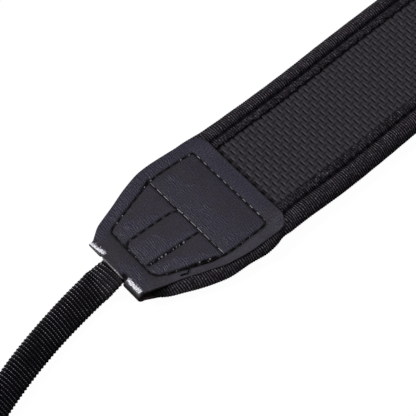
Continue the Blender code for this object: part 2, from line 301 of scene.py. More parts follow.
# The stitches
STITCH_RINGS, STITCH_SIDES = 9, 8
STITCH_STRAY = 0.07  # how far stitches stray from their places
STITCH_DIVE = 0.45  # their ends go down this much
STITCH_LOWERED = (0.25, 0.12)  # how far they lie inside the leather's top and underside
STITCH_SINK, STITCH_STOUT = 0.12, 0.65  # along the strap they lie lower and are stouter by this
STITCH_SLIM = 0.35  # their ends lose this share of their thickness
OPENED = 0.75  # how much wider the gaps of an open seam get
PLY = 0.14  # relief of the thread's plies
PLY_TURNS = 1.1  # turns of the plies in a stitch

# The webbing and its end loop
WEB_WIDTH = 10.2
WEB_THICK = 1.4
WEB_EDGE = 0.4  # rounding of its edges
WEB_RIB = 1.2
WEB_RIB_DEPTH = 0.24
WEB_RIB_STEPS = 5  # rings to a rib
WEB_SCALLOP = 0.07  # its edges are drawn in by this share between its ribs
WEB_BEAD = 0.78  # pitch of the beads along a rib
WEB_BOW = 0.35  # its ribs bow this much over the width
WEB_CUP = 0.3  # and it cups this much outside the tab and short of the loop
CUP_FROM, CUP_UNTIL = 29, 62  # from its start and from its end
TAIL_START_HEADING = 6  # degrees
LAYER_PITCH = 1.7  # between the loop's two layers, which flare apart past the slider
FLARE_RADIUS = 20
FLARE_TURN = 40  # degrees
RETURN_LENGTH = 28

INNER_WEB = table(
    "from_fold height",
    (0, 2.15), (2.3, 2.2), (7, 3.05), (14, 3.9), (21, 4.5), (28, 4.85), (30, 4.95),
)

# The webbing outside the tab. Along a leg it turns by some degrees; at its end, its lower edge lies
# at a height and its width stands at a twist, 90 degrees being on edge.
Leg = namedtuple("Leg", "length lift turn twist")
TAIL_LEGS = [
    Leg(3, 3.4, 0.6, 6),
    Leg(5, 0.9, 1.2, 38),
    Leg(22, 0.5, 5.7, 45),
    Leg(32, 0.1, 11, 50),
    Leg(33, 0.1, 18, 90),
    Leg(70, 1.5, 48, 90),
    Leg(38, 1.5, 0, 90),
]

# The slider
SLIDER_WALL = 1.2
SLIDER_CORNER = 1.3
SLIDER_HOLE_CORNER = 0.4
SLIDER_SEAT = 0.05  # it stays this far inside its solid at its top and underside
SLIDER_LIP, LIP_SHARE = 0.45, 0.09  # its rims are rounded, over this share of its half length
MOUTH, MOUTH_SHARE = 0.3, 0.1  # its hole widens at both ends, over this share
HOLE_SHARE = 0.985  # the hole's length, as a share of its own
CORNER_STEPS = 9
GRIP = 0.22  # its two grip ribs stand this high
GRIP_AT, GRIP_WIDTH = 0.35, 0.09  # their places and their width, as shares of its half length


# ---------------- curves and profiles


def through(rows, column, at):
    """Read a table's column at places in its first one, by a smooth curve that never overshoots."""
    xs, ys = rows[0], getattr(rows, column)
    at = np.clip(at, xs[0], xs[-1])
    steps = np.diff(xs)
    slopes = np.diff(ys) / steps
    product = slopes[1:] * slopes[:-1]
    total = slopes[1:] + slopes[:-1]
    inner = np.where(product > 0, 2 * product / np.where(total == 0, 1, total), 0)
    tangents = np.concatenate([slopes[:1], inner, slopes[-1:]])
    i = np.clip(np.searchsorted(xs, at, side="right") - 1, 0, len(steps) - 1)
    t = (at - xs[i]) / steps[i]
    rise = (ys[i + 1] - ys[i]) * t * t * (3 - 2 * t)
    bend = t * (1 - t) * ((1 - t) * tangents[i] - t * tangents[i + 1]) * steps[i]
    return ys[i] + rise + bend


def smooth(share):
    """Ease a share between 0 and 1 in and out."""
    return share * share * (3 - 2 * share)


def ramp(value, start, length):
    """Go smoothly from 0 at the start to 1 a length further on, or further back if negative."""
    return smooth(np.clip((value - start) / length, 0, 1))


def bell(value, width):
    """Give 1 at 0, falling to 1/e at the width on either side."""
    return np.exp(-((value / width) ** 2))


def within(value, length, end):
    """Give 1 inside a length centred on 0 and 0 outside it, with soft ends."""
    return 1 / (1 + np.exp((np.abs(value) - length / 2) / end))


def curl(from_fold):
    """Give how far the strap's end curls up at this distance from its fold."""
    return END_LIFT * np.clip(1 - from_fold / LIFT_LENGTH, 0, 1) ** 2


def band_middle(from_fold):
    """Give the place across of the band's middle line."""
    return BAND_Y + through(SWAY, "across", from_fold)


def band_height(height, from_fold):
    """Give the height near the band's end of a point at this height in its plain section."""
    underside, foam_top, top = (
        through(BAND_END, column, from_fold) for column in ("underside", "foam_top", "top")
    )
    lower = underside + height / FOAM_TOP * (foam_top - underside)
    upper = foam_top + (height - FOAM_TOP) / (BAND_THICK - FOAM_TOP) * (top - foam_top)
    return curl(from_fold) + np.where(height <= FOAM_TOP, lower, upper)


def rounded(path, step):
    """Walk a path of corner points with rounded corners, in even steps."""
    corners = np.stack([path.from_fold, path.across], axis=1)
    closed = path.radius[0] > 0
    points = []
    for i, radius in enumerate(path.radius):
        if radius == 0:
            points.append(corners[i])
            continue
        before = corners[i - 1] - corners[i]
        after = corners[(i + 1) % len(corners)] - corners[i]
        start = corners[i] + before / np.linalg.norm(before) * radius
        end = corners[i] + after / np.linalg.norm(after) * radius
        for t in np.linspace(0, 1, CORNER_POINTS):
            points.append((1 - t) ** 2 * start + 2 * t * (1 - t) * corners[i] + t * t * end)
    if closed:
        points.append(points[0])
    points = np.array(points)
    lengths = np.concatenate([[0], np.cumsum(np.linalg.norm(np.diff(points, axis=0), axis=1))])
    at = np.linspace(0, lengths[-1], max(2, round(lengths[-1] / step) + 1))
    return np.stack([np.interp(at, lengths, points[:, k]) for k in (0, 1)], axis=1), at


# ---------------- meshes


def grid_faces(rows, columns, close_rows=False, close_columns=False):
    """List the corners of a grid's faces."""
    i, j = np.meshgrid(
        np.arange(rows if close_rows else rows - 1),
        np.arange(columns if close_columns else columns - 1),
        indexing="ij",
    )
    i, j = i.ravel(), j.ravel()
    below, beside = (i + 1) % rows, (j + 1) % columns
    corners = (i * columns + j, i * columns + beside, below * columns + beside, below * columns + j)
    return np.stack(corners, axis=1)


def add_piece(name, points, faces, material, layers):
    """Make a piece of the strap from points in millimetres, with layers of numbers or vectors."""
    mesh = bpy.data.meshes.new(name)
    mesh.from_pydata((points * MM).tolist(), [], faces)
    mesh.update()
    for label, values in layers.items():
        values = values.reshape(len(points), -1).astype(np.float32)
        kind, key = ("FLOAT_VECTOR", "vector") if values.shape[1] == 3 else ("FLOAT", "value")
        mesh.attributes.new(label, kind, "POINT").data.foreach_set(key, values.ravel())
    mesh.shade_smooth()
    mesh.materials.append(material)
    piece = bpy.data.objects.new(name, mesh)
    bpy.context.scene.collection.objects.link(piece)
    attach(piece, ROOT)
    return piece


def tube_faces(rings, columns):
    """List the faces of a closed tube with a flat cap at each end."""
    faces = grid_faces(rings, columns, close_columns=True).tolist()
    caps = [list(range(columns))[::-1], list(range((rings - 1) * columns, rings * columns))]
    return faces + caps


def add_tube(name, rings, material, layers, flip=False):
    """Make a closed body from rings of points, which are walked backwards if flipped."""
    order = slice(None, None, -1 if flip else 1)
    layers = {label: values[:, order] for label, values in layers.items()}
    points = rings[:, order].reshape(-1, 3)
    return add_piece(name, points, tube_faces(*rings.shape[:2]), material, layers)


def shell_faces(keep, fine):
    """List the faces of a body between a fine outer grid and a coarse inner one, in kept blocks."""
    rows, columns = keep.shape
    width = columns * fine + 1
    outer_count = (rows * fine + 1) * width
    dense = np.kron(keep, np.ones((fine, fine), bool)).ravel()
    faces = grid_faces(rows * fine + 1, width)[dense].tolist()
    inner = grid_faces(rows + 1, columns + 1)[keep.ravel()][:, ::-1] + outer_count
    faces += inner.tolist()
    kept = np.pad(keep, 1)
    edge = np.arange(fine + 1)
    for i, j in zip(*np.nonzero(keep)):
        near = outer_count + i * (columns + 1) + j
        far = near + columns + 1
        top = i * fine * width + j * fine
        sides = (
            (kept[i, j + 1], top + edge, near + 1, near, -1),
            (kept[i + 2, j + 1], top + fine * width + edge, far + 1, far, 1),
            (kept[i + 1, j], top + edge * width, far, near, 1),
            (kept[i + 1, j + 2], top + fine + edge * width, far + 1, near + 1, -1),
        )
        for covered, line, end, start, order in sides:
            if not covered:
                faces.append([*line, end, start][::order])
    return faces


def add_shell(name, outer, inner, keep, fine, material, layers, flip):
    """Make a body between a fine outer and a coarse inner grid, without unused points.

    Each layer has its values on the outer grid, and the number that it has on the inner one, or
    None where both have the same.
    """
    faces = shell_faces(keep, fine)
    if flip:
        faces = [face[::-1] for face in faces]
    points = np.concatenate([outer.reshape(-1, 3), inner.reshape(-1, 3)])
    used = np.zeros(len(points), bool)
    used[np.concatenate([np.array(face) for face in faces])] = True
    places = np.cumsum(used) - 1
    faces = [places[face].tolist() for face in faces]
    joined = {}
    for label, (values, inside) in layers.items():
        under = values[::fine, ::fine] if inside is None else np.full(inner.shape[:2], float(inside))
        parts = [values.reshape(outer[..., 0].size, -1), under.reshape(inner[..., 0].size, -1)]
        joined[label] = np.concatenate(parts)[used]
    return add_piece(name, points[used], faces, material, joined)


# ---------------- materials

# Base colours
LEATHER_DARK, LEATHER_LIGHT = (0.0236, 0.0202, 0.0236), (0.0284, 0.0245, 0.0284)
LEATHER_PAINTED_SHEEN = (0.0250, 0.0225, 0.0350)
LEATHER_SPECK, LEATHER_PORE = (0.052, 0.048, 0.060), (0.008, 0.007, 0.008)
LEATHER_PAINTED_SHADE = (0.0006, 0.0005, 0.0008)
LEATHER_FLESH = (0.050, 0.034, 0.034)
LEATHER_EDGE_HIGHLIGHT, LEATHER_GLARE = (0.36, 0.35, 0.37), (0.80, 0.80, 0.82)
FACING_DARK, FACING_LIGHT = (0.0234, 0.0202, 0.0228), (0.0278, 0.0242, 0.0272)
FACING_RIDGE_HIGHLIGHT, FACING_PAINTED_SHADE = (0.052, 0.0460, 0.0510), (0.0005, 0.0003, 0.0006)
FACING_GLINT = (0.10, 0.10, 0.105)
KNIT_DARK, KNIT_LIGHT = (0.0004, 0.0002, 0.0005), (0.0735, 0.0620, 0.0745)
KNIT_GLINT, KNIT_FADED = (0.190, 0.178, 0.190), (0.040, 0.026, 0.030)
WEB_DARK, WEB_LIGHT = (0.0048, 0.0036, 0.0048), (0.0072, 0.0060, 0.0072)
WEB_GLINT = (0.560, 0.544, 0.566)
THREAD_DARK, THREAD_LIGHT = (0.0008, 0.0007, 0.0010), (0.0022, 0.0020, 0.0024)
THREAD_PAINTED_HIGHLIGHT = (0.200, 0.197, 0.205)
FOAM_DARK, FOAM_LIGHT = (0.013, 0.0125, 0.014), (0.018, 0.0175, 0.0195)
FOAM_HOLLOW = (0.006, 0.0058, 0.0065)
PLASTIC_DARK, PLASTIC_LIGHT = (0.009, 0.009, 0.010), (0.014, 0.014, 0.015)


class Shader:
    """A material's nodes, with short calls to make and join them."""

    def __init__(self, name):
        self.material = bpy.data.materials.new(name)
        self.material.use_nodes = True
        self.nodes = self.material.node_tree.nodes
        self.links = self.material.node_tree.links

    def fill(self, socket, value):
        """Link another node's output to a socket, or set its number."""
        if isinstance(value, bpy.types.NodeSocket):
            self.links.new(value, socket)
        else:
            socket.default_value = value

    def finish(self, **values):
        """Fill sockets of the surface by name, with _ for a space, and give the material."""
        for name, value in values.items():
            self.fill(self.nodes["Principled BSDF"].inputs[name.replace("_", " ")], value)
        return self.material

    def add(self, kind, inputs, **settings):
        """Make a node with its settings, and fill its inputs by name or number."""
        node = self.nodes.new("ShaderNode" + kind)
        for name, value in settings.items():
            setattr(node, name, value)
        for key, value in inputs.items():
            self.fill(node.inputs[key], value)
        return node

    def attribute(self, name, output="Fac"):
        return self.add("Attribute", {}, attribute_name=name).outputs[output]

    def scaled(self, vector, *scale):
        return self.add("VectorMath", {0: vector, 1: scale}, operation="MULTIPLY").outputs[0]

    def split(self, vector):
        return self.add("SeparateXYZ", {"Vector": vector}).outputs

    def noise(self, vector, scale, detail=3.0, roughness=0.5, distortion=0.0):
        inputs = {"Vector": vector, "Scale": scale, "Detail": detail, "Roughness": roughness}
        return self.add("TexNoise", {**inputs, "Distortion": distortion}).outputs["Fac"]

    def cells(self, vector, scale=1.0, randomness=1.0):
        inputs = {"Vector": vector, "Scale": scale, "Randomness": randomness}
        return self.add("TexVoronoi", inputs).outputs["Distance"]

    def math(self, operation, *values, clamp=False):
        inputs = dict(enumerate(values))
        return self.add("Math", inputs, operation=operation, use_clamp=clamp).outputs[0]

    def plus(self, a, b, clamp=False):
        return self.math("ADD", a, b, clamp=clamp)

    def times(self, a, b, clamp=False):
        return self.math("MULTIPLY", a, b, clamp=clamp)

    def wave(self, phase):
        """Give a wave between 0 and 1."""
        return self.math("MULTIPLY_ADD", self.math("SINE", phase), 0.5, 0.5)

    def remap(self, value, low, high, to_low=0.0, to_high=1.0):
        inputs = {"Value": value, "From Min": low, "From Max": high, "To Min": to_low, "To Max": to_high}
        return self.add("MapRange", inputs, interpolation_type="SMOOTHSTEP").outputs["Result"]

    def blend(self, share, a, b):
        node = self.add("Mix", {0: share}, data_type="RGBA")
        colours = [socket for socket in node.inputs if socket.type == "RGBA"]
        for socket, value in zip(colours, (a, b)):
            self.fill(socket, (*value, 1) if isinstance(value, tuple) else value)
        return next(socket for socket in node.outputs if socket.type == "RGBA")

    def tint(self, colour, towards, value, low, high, least=0.0, most=1.0):
        """Blend a colour towards another one, the more so as a value goes from low to high."""
        return self.blend(self.remap(value, low, high, least, most), colour, towards)

    def bump(self, height, distance, strength=1.0, normal=None):
        inputs = {"Height": height, "Distance": distance * MM, "Strength": strength}
        if normal is not None:
            inputs["Normal"] = normal
        return self.add("Bump", inputs).outputs["Normal"]


def leather_ripples(s, cloth, tilt):
    """Give fine uneven ripples that run across the strap, strong only where the leather leans."""
    along, across, _ = s.split(cloth)
    lean = s.math("SUBTRACT", along, s.times(across, RIPPLE_LEAN))
    bend = s.noise(s.scaled(cloth, 1.0, 0.6, 1.0), 0.8, 2)
    ripples = s.wave(s.plus(s.times(lean, 2 * math.pi / RIPPLE), s.times(bend, 15)))
    patches = s.remap(s.noise(cloth, 0.5, 3), 0.35, 0.60, 0.75, 1.0)
    patches = s.times(patches, s.remap(along, WIDE_SEAM - 0.3, WIDE_SEAM + 1.7, 1.0, 0.1))
    return s.times(s.times(ripples, patches), s.remap(tilt, 0.2, 0.8, 0.12, 1.0))


def leather_material():
    """Dark grained leather, crinkled across the strap and cracked at the fold, with painted sheen,
    shade, glare and highlights.
    """
    s = Shader("leather")
    cloth = s.attribute("cloth", "Vector")
    crease, painted_shade = s.attribute("crease"), s.attribute("painted_shade")
    tone = s.noise(cloth, 0.22, 4)
    uneven = s.remap(s.noise(cloth, 0.3, 3), 0.3, 0.7, -0.2, 0.2)
    tilt = s.plus(s.attribute("tilt"), uneven)
    ripples = leather_ripples(s, cloth, tilt)

    colour = s.tint(LEATHER_DARK, LEATHER_LIGHT, tone, 0.35, 0.65)
    # painted sheen: a bluish tint where the leather leans towards the cool light
    colour = s.tint(colour, LEATHER_PAINTED_SHEEN, tilt, 0.15, 0.85, most=0.9)
    specks = s.math("SUBTRACT", s.noise(cloth, 2.3, 3, 0.7), 0.5)
    at_wide_end = s.remap(s.split(cloth)[0], WIDE_SEAM + 0.7, WIDE_SEAM + 1.7, 1.0, 2.4)
    specks = s.times(specks, at_wide_end)
    colour = s.tint(colour, LEATHER_SPECK, specks, 0.0, 0.20, most=0.6)
    colour = s.tint(colour, LEATHER_PORE, specks, 0.0, -0.18, most=0.6)
    # painted shade: dark and matte in the seams' grooves, on the fold's front and in the dent by the
    # slot
    colour = s.blend(painted_shade, colour, LEATHER_PAINTED_SHADE)
    colour = s.blend(s.attribute("flesh"), colour, LEATHER_FLESH)
    # painted highlight along the tongue's edge over the slot
    colour = s.tint(colour, LEATHER_EDGE_HIGHLIGHT, s.attribute("edge_highlight"), 0.25, 0.75, most=0.34)
    cracks = s.noise(s.scaled(cloth, 2.8, 1.9, 1.0), 1.0, 5, 0.8, 0.5)
    # painted glare: white patches on the fold, broken up by cracks
    glare = s.remap(s.plus(cracks, s.times(crease, 0.42)), 0.82, 0.92)
    glare = s.times(glare, s.remap(crease, 0.02, 0.2), clamp=True)
    colour = s.blend(glare, colour, LEATHER_GLARE)

    pores = s.cells(s.scaled(cloth, 1.0, 0.8, 1.0), 2.6)
    grain = s.bump(ripples, 0.135, 0.83, s.bump(pores, 0.06, 0.5))
    grain = s.bump(s.times(cracks, crease), 0.3, 0.7, grain)
    shine = s.plus(s.remap(tone, 0.3, 0.7, 0.48, 0.43), s.times(painted_shade, 0.55), clamp=True)
    return s.finish(Base_Color=colour, Roughness=shine, Normal=grain, Specular_IOR_Level=0.20)


def facing_material():
    """The band's facing: a satin coated cloth with a fine grain, painted shade in its grooves and
    painted highlights.
    """
    s = Shader("woven_facing")
    cloth = s.attribute("cloth", "Vector")
    groove = s.attribute("groove")
    grain = s.noise(cloth, 3.2, 3, 0.6)
    colour = s.tint(FACING_DARK, FACING_LIGHT, s.noise(cloth, 0.35, 4), 0.3, 0.7)
    # painted highlight on the ridge beside each slit
    colour = s.tint(colour, FACING_RIDGE_HIGHLIGHT, s.attribute("ridge"), 0.2, 0.9)
    # painted shade in the weave's slits and dashes and beside the bindings' strips and the tabs
    colour = s.tint(colour, FACING_PAINTED_SHADE, groove, 0.1, 0.8)
    # painted glints: small bright flecks scattered over the weave
    colour = s.tint(colour, FACING_GLINT, s.cells(cloth, 0.55), 0.075, 0.03)
    shine = s.plus(s.remap(grain, 0.3, 0.7, 0.44, 0.58), s.times(groove, 0.5), clamp=True)
    bumps = s.bump(grain, 0.05, 0.4)
    return s.finish(Base_Color=colour, Roughness=shine, Normal=bumps, Specular_IOR_Level=0.18)


def knit_material():
    """The binding's knit: rows of tiny loops along each rib, with painted glints, shade and highlights.
    """
    s = Shader("ribbed_knit")
    cloth = s.attribute("cloth", "Vector")
    loops = s.cells(s.scaled(cloth, 1 / RIB, 1 / 0.5, 1.0), randomness=0.55)
    colour = s.tint(KNIT_DARK, KNIT_LIGHT, loops, 0.75, 0.20, 0.15)
    colour = s.tint(colour, KNIT_GLINT, s.noise(cloth, 2.1, 2), 0.56, 0.70)
    colour = s.tint(colour, KNIT_FADED, s.noise(cloth, 0.6, 4), 0.52, 0.70, most=0.8)
    # the rib layer paints shade in the troughs, the groove and under the fold, and highlights on the
    # crests
    colour = s.tint(KNIT_DARK, colour, s.attribute("rib"), 0.15, 1.0)
    bumps = s.bump(loops, 0.14, 0.7)
    return s.finish(Base_Color=colour, Roughness=0.8, Normal=bumps, Specular_IOR_Level=0.1)


def webbing_material():
    """The webbing: beads of glossy black yarn in rows across it, with painted glints and painted shade.
    """
    s = Shader("webbing")
    cloth = s.attribute("cloth", "Vector")
    rib = s.attribute("rib")
    beads = s.wave(s.times(s.split(cloth)[1], 2 * math.pi / WEB_BEAD))
    uneven = s.noise(cloth, 1.1, 2)
    height = s.times(s.times(beads, rib), s.remap(uneven, 0.2, 0.8, 0.6, 1.0))
    # painted glints on the beads of the rib crests
    glint = s.times(s.remap(beads, 0.10, 0.75, 0.04, 1.0), s.remap(rib, 0.80, 0.98), clamp=True)
    glint = s.times(glint, s.remap(uneven, 0.3, 0.65, 0.25, 1.0), clamp=True)
    glint = s.times(glint, s.remap(s.noise(cloth, 0.16, 2), 0.36, 0.56, 0.35, 1.0), clamp=True)
    # painted shade between the ribs, then the painted glints
    colour = s.blend(glint, s.blend(rib, WEB_DARK, WEB_LIGHT), WEB_GLINT)
    fibres = s.noise(s.scaled(cloth, 6.0, 1.5, 1.0), 1.0, 2)
    bumps = s.bump(fibres, 0.05, 0.4, s.bump(height, 0.16, 0.8))
    return s.finish(Base_Color=colour, Roughness=0.60, Normal=bumps, Specular_IOR_Level=0.08)


def thread_material():
    """Bonded thread, with a painted highlight on the stitches that run across the strap."""
    s = Shader("thread")
    lit = s.attribute("lit")
    wisps = s.noise(s.attribute("cloth", "Vector"), 3.0, 2)
    colour = s.tint(THREAD_DARK, THREAD_LIGHT, wisps, 0.35, 0.65)
    # painted highlight on the stitches that run across the strap and on some ends
    colour = s.tint(colour, THREAD_PAINTED_HIGHLIGHT, lit, 0.75, 0.98)
    shine = s.remap(lit, 0.75, 0.98, 0.75, 0.32)
    bumps = s.bump(wisps, 0.04, 0.5)
    return s.finish(Base_Color=colour, Roughness=shine, Normal=bumps, Specular_IOR_Level=0.12)


def foam_material():
    """The plain underside: a fine knit bonded to foam."""
    s = Shader("foam_backing")
    cloth = s.attribute("cloth", "Vector")
    loops = s.cells(s.scaled(cloth, 1.5, 1.1, 1.0), randomness=0.35)
    colour = s.tint(FOAM_DARK, FOAM_LIGHT, s.noise(cloth, 0.08, 4), 0.35, 0.65)
    colour = s.tint(colour, FOAM_HOLLOW, loops, 0.2, 0.6)
    return s.finish(Base_Color=colour, Roughness=0.82, Normal=s.bump(loops, 0.12, -0.6),
                    Specular_IOR_Level=0.25, Sheen_Weight=0.08, Sheen_Roughness=0.5)


def slider_material():
    """Moulded black plastic with a fine texture, smudged to different shines."""
    s = Shader("slider_plastic")
    cloth = s.attribute("cloth", "Vector")
    texture = s.noise(cloth, 5.0, 4, 0.6)
    smudge = s.noise(cloth, 0.5, 3)
    colour = s.tint(PLASTIC_DARK, PLASTIC_LIGHT, smudge, 0.35, 0.65)
    shine = s.remap(smudge, 0.3, 0.7, 0.34, 0.48)
    return s.finish(Base_Color=colour, Roughness=shine, Normal=s.bump(texture, 0.03, 0.5))


def floor_material():
    """A plain pale table that lifts its own shadows a little."""
    s = Shader("floor")
    return s.finish(Base_Color=(0.03, 0.03, 0.03, 1), Roughness=0.9, Specular_IOR_Level=0.0,
                    Emission_Color=(1, 1, 1, 1), Emission_Strength=0.97)


# ---------------- the padded band


def make_foam(material):
    """Make the foam body with its plain backing, between the bindings."""
    along = np.linspace(-FOAM_REACH, FOAM_REACH, round(2 * FOAM_REACH / FOAM_STEP) + 1)
    from_fold = (STRAP_HALF - np.abs(along))[:, None]
    edge = through(BAND_END, "half_width", from_fold)
    turn = np.linspace(0, 1, BACKING_COLUMNS) * math.pi
    far = edge - FOAM_SIDE.inset
    backing = (edge - BACKING_INSET) * np.cos(turn)
    y = np.concatenate([far, backing, -far[:, ::-1]], axis=1)
    low = BACKING_HEIGHT - BACKING_CROWN * np.sin(turn) ** 0.5
    z = np.broadcast_to(np.concatenate([FOAM_SIDE.height, low, FOAM_SIDE.height[::-1]]), y.shape)
    x = np.broadcast_to(along[:, None], y.shape)
    rings = np.stack([x, band_middle(from_fold) + y, band_height(z, from_fold)], axis=2)
    layers = {"cloth": np.stack([x, y, z], axis=2)}
    foam = add_tube("foam_body", rings, material, layers, flip=True)
    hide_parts("padded_band")


def weave_slit(x, y):
    """Give how deep a point near a slit lies in it, how much painted shade it gets, and how far up its
    ridge.
    """
    x = x + SLIT_BOW * (1 - (2 * y / SLIT_LENGTH) ** 2).clip(-0.5)
    ends = within(y, SLIT_LENGTH, SLIT_END)
    fall = ramp(x, SLIT_FALL, SLIT_FLOOR - SLIT_FALL)
    rise = ramp(x, SLIT_RISE, SLIT_FLOOR - SLIT_RISE)
    crest = within(y, RIDGE_LENGTH, RIDGE_END) * bell(x - RIDGE_AT, RIDGE_WIDTH)
    return ends * np.minimum(fall, rise), ends * bell(x - SHADE_AT, SHADE_WIDTH), crest


def weave_relief(along, across):
    """Give the embossed weave's height, the painted shade of its slits and dashes, and how far each
    point is on a ridge.
    """
    half = WEAVE / 2
    i0, j0 = np.round(along / half), np.round(across / half)
    slit, dark, ridge, dash = (np.zeros(along.shape) for _ in range(4))
    for di in (-1, 0, 1):
        for dj in (-1, 0, 1):
            i, j = i0 + di, j0 + dj
            even = (i + j) % 2 == 0
            x, y = along - i * half, across - j * half
            slit, dark, ridge = (
                np.maximum(so_far, np.where(even, here, 0))
                for so_far, here in zip((slit, dark, ridge), weave_slit(x, y))
            )
            here = within(x, DASH_LENGTH, DASH_END) * bell(y + DASH_LEAN * x, DASH_WIDTH)
            dash = np.maximum(dash, np.where(even, 0, here))
    height = RIDGE_HEIGHT * ridge - SLIT_DEPTH * slit - DASH_DEPTH * dash
    return height, np.clip(dark + DASH_SHADE * dash, 0, 1), ridge * (1 - dash)


def weave_lines(reach, around, last):
    """List a grid's lines from one edge of the facing to the other, in whole blocks."""
    half = WEAVE / 2
    crossings = int(reach // half)
    lines = (np.arange(-crossings, crossings)[:, None] * half + around).ravel()
    lines = np.concatenate([[-reach], lines, last])
    lines = lines[: len(lines) - (len(lines) - 1) % PANEL_FINE]
    lines[-1] = reach
    return lines


def panel_shade(y, from_fold, x):
    """Give the painted shade on the facing where it goes under a binding's strip or a tab."""
    uneven = 0.75 + 0.25 * np.sin(2.3 * x) * np.sin(1.1 * x + y)
    beside_strip = bell(np.maximum(STRIP_EDGE - np.abs(y), 0), STRIP_SHADE)
    beside_tab = bell(from_fold - TAB_LENGTH - TAB_SHADE_AT, TAB_SHADE)
    patchy = np.clip(0.6 + 0.5 * np.cos(2 * math.pi * y / WEAVE), 0, 1)
    return np.maximum(beside_strip * uneven, beside_tab * patchy)


def make_panel(material):
    """Make the facing, its grid set close where the weave's slits and dashes fall."""
    x, y = np.meshgrid(
        weave_lines(PANEL_REACH, LINES_ALONG, [PANEL_REACH]),
        weave_lines(PANEL_HALF, LINES_ACROSS, [PANEL_HALF - 0.5, PANEL_HALF]),
        indexing="ij",
    )
    relief, groove, ridge = weave_relief(x, -y)
    fade = np.clip((PANEL_HALF - np.abs(y)) / PANEL_FADE, 0, 1)
    from_fold = STRAP_HALF - np.abs(x)
    top = band_height(PANEL_TOP + 0 * x, from_fold)
    outer = np.stack([x, band_middle(from_fold) + y, top + relief * fade - PANEL_SEAT], axis=2)
    every = slice(None, None, PANEL_FINE)
    inner = outer[every, every].copy()
    inner[..., 2] = top[every, every] - PANEL_THICK + PANEL_SEAT
    keep = np.ones((inner.shape[0] - 1, inner.shape[1] - 1), bool)
    # painted shade: in the weave's grooves, and beside the bindings' strips and the tabs
    shaded = np.maximum(groove * fade, panel_shade(y, from_fold, x))
    layers = {
        "cloth": (np.stack([x, y, 0 * x], axis=2), None),
        "groove": (shaded, 0),
        # painted highlight on the ridges, kept out of the painted shade
        "ridge": (ridge * fade * (1 - shaded), 0),
    }
    panel = add_shell("panel_facing", outer, inner, keep, PANEL_FINE, material,
                      layers, flip=True)
    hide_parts("woven_panel")


def binding_profile():
    """Walk the binding's section: inset, height, outward normal and distance round it."""
    inset, height = BINDING_SECTION.inset, BINDING_SECTION.height
    tangent = np.stack([np.roll(line, -1) - np.roll(line, 1) for line in (inset, height)], axis=1)
    tangent /= np.linalg.norm(tangent, axis=1)[:, None]
    normal = np.stack([tangent[:, 1], -tangent[:, 0]], axis=1)
    lengths = np.hypot(np.diff(inset), np.diff(height))
    return inset, height, normal, np.concatenate([[0], np.cumsum(lengths)])


def binding_edge(from_fold, side):
    """Give how far a binding's outer edge lies from the band's middle."""
    edge = through(BAND_END, "half_width", from_fold)
    for bulging, place, reach, rise in zip(*BINDING_BULGES):
        edge = edge + (side == bulging) * rise * bell(from_fold - place, reach)
    return edge


def make_binding(name, side, material):
    """Make one knitted binding, with its ribs, its stitched groove and its puckers."""
    count = round(2 * BINDING_HALF / (RIB / RIB_STEPS)) + 1
    along = np.linspace(-BINDING_HALF, BINDING_HALF, count)[:, None]
    from_fold = STRAP_HALF - np.abs(along)
    inset, height, normal, around = binding_profile()
    rib = 0.5 + 0.5 * np.cos(2 * math.pi * np.arange(count) / RIB_STEPS)[:, None]
    shown = (around < around[-SECTION_HIDDEN]) * 1.0
    in_groove = bell(inset - GROOVE_INSET, GROOVE_WIDTH) * shown
    strip = ramp(inset - GROOVE_INSET, 0.3, 1.1) * shown
    lobe_edge = ramp(inset, 7.0, 1.3) * shown

    draws = np.random.default_rng(7)
    knots = np.arange(-BINDING_HALF, BINDING_HALF + BINDING_STITCH, BINDING_STITCH)
    wander, size, spark = (
        np.interp(along, knots, draws.normal(middle, spread, len(knots)))
        for middle, spread in ((0, 0.09), (1, 0.3), (0.6, 0.3))
    )
    mottle = draws.normal(0, 1, (count, len(inset)))
    slant = STRIP_SLANT * np.maximum(inset - GROOVE_INSET, 0)
    hole = np.cos(math.pi * ((along - slant) / BINDING_STITCH + wander)) ** 2
    lobe = size * (0.5 - hole)

    lift = RIB_DEPTH * (rib - 0.4) * shown * (1 - 0.6 * in_groove) * (1 - 0.5 * strip)
    lift = lift + strip * (LOBE_RISE * lobe + KNIT_ROUGH * mottle) - HOLE_DEPTH * hole**2 * in_groove
    out = binding_edge(from_fold, side) - inset - LOBE_REACH * lobe * lobe_edge - lift * normal[:, 0]
    z = np.maximum(band_height(height + lift * normal[:, 1], from_fold), TABLE_GAP)
    waver = np.sin(along * 0.9 + 2 * np.sin(along * 0.13) + around * 0.8)
    x = along + WAVER * waver * shown
    rings = np.stack([x, band_middle(from_fold) + side * out, z], axis=2)

    speckled = np.clip(0.55 + 0.3 * mottle, 0, 1)
    # painted light for the knit: highlight on the rib crests, shade in the troughs and the stitched
    # groove
    light = (rib + strip * 0.65 * (speckled - rib)) * (1 - 0.15 * strip) * shown * (1 - 0.95 * in_groove)
    # painted shade under the fold at the band's ends
    light = light * (0.3 + 0.7 * ramp(from_fold, 5, 7))
    # painted glints where the stitches pull the strip in
    light = light + spark * hole**10 * bell(inset - GROOVE_INSET - 0.75, 0.3)
    layers = {"cloth": np.stack([x, np.broadcast_to(around, z.shape), 0 * z], axis=2), "rib": light}
    return add_tube(name, rings, material, layers, flip=side > 0)


# ---------------- the leather tabs


def tab_half(from_fold, far, upper, corners=True):
    """Give how far the tab reaches from its middle, with its wide corners rounded or not."""
    half = through(TAB_SHAPE, "half_width", from_fold)
    on_far = through(SPREAD, "far", from_fold)
    on_near = upper * through(SPREAD, "near", from_fold)
    half = half + np.where(far, on_far, on_near)
    into = np.clip((from_fold - (TAB_LENGTH - TAB_CORNER)) / TAB_CORNER, 0, 1)
    cut = TAB_CORNER * (1 - np.sqrt(1 - into**2))
    return half - cut if corners else half


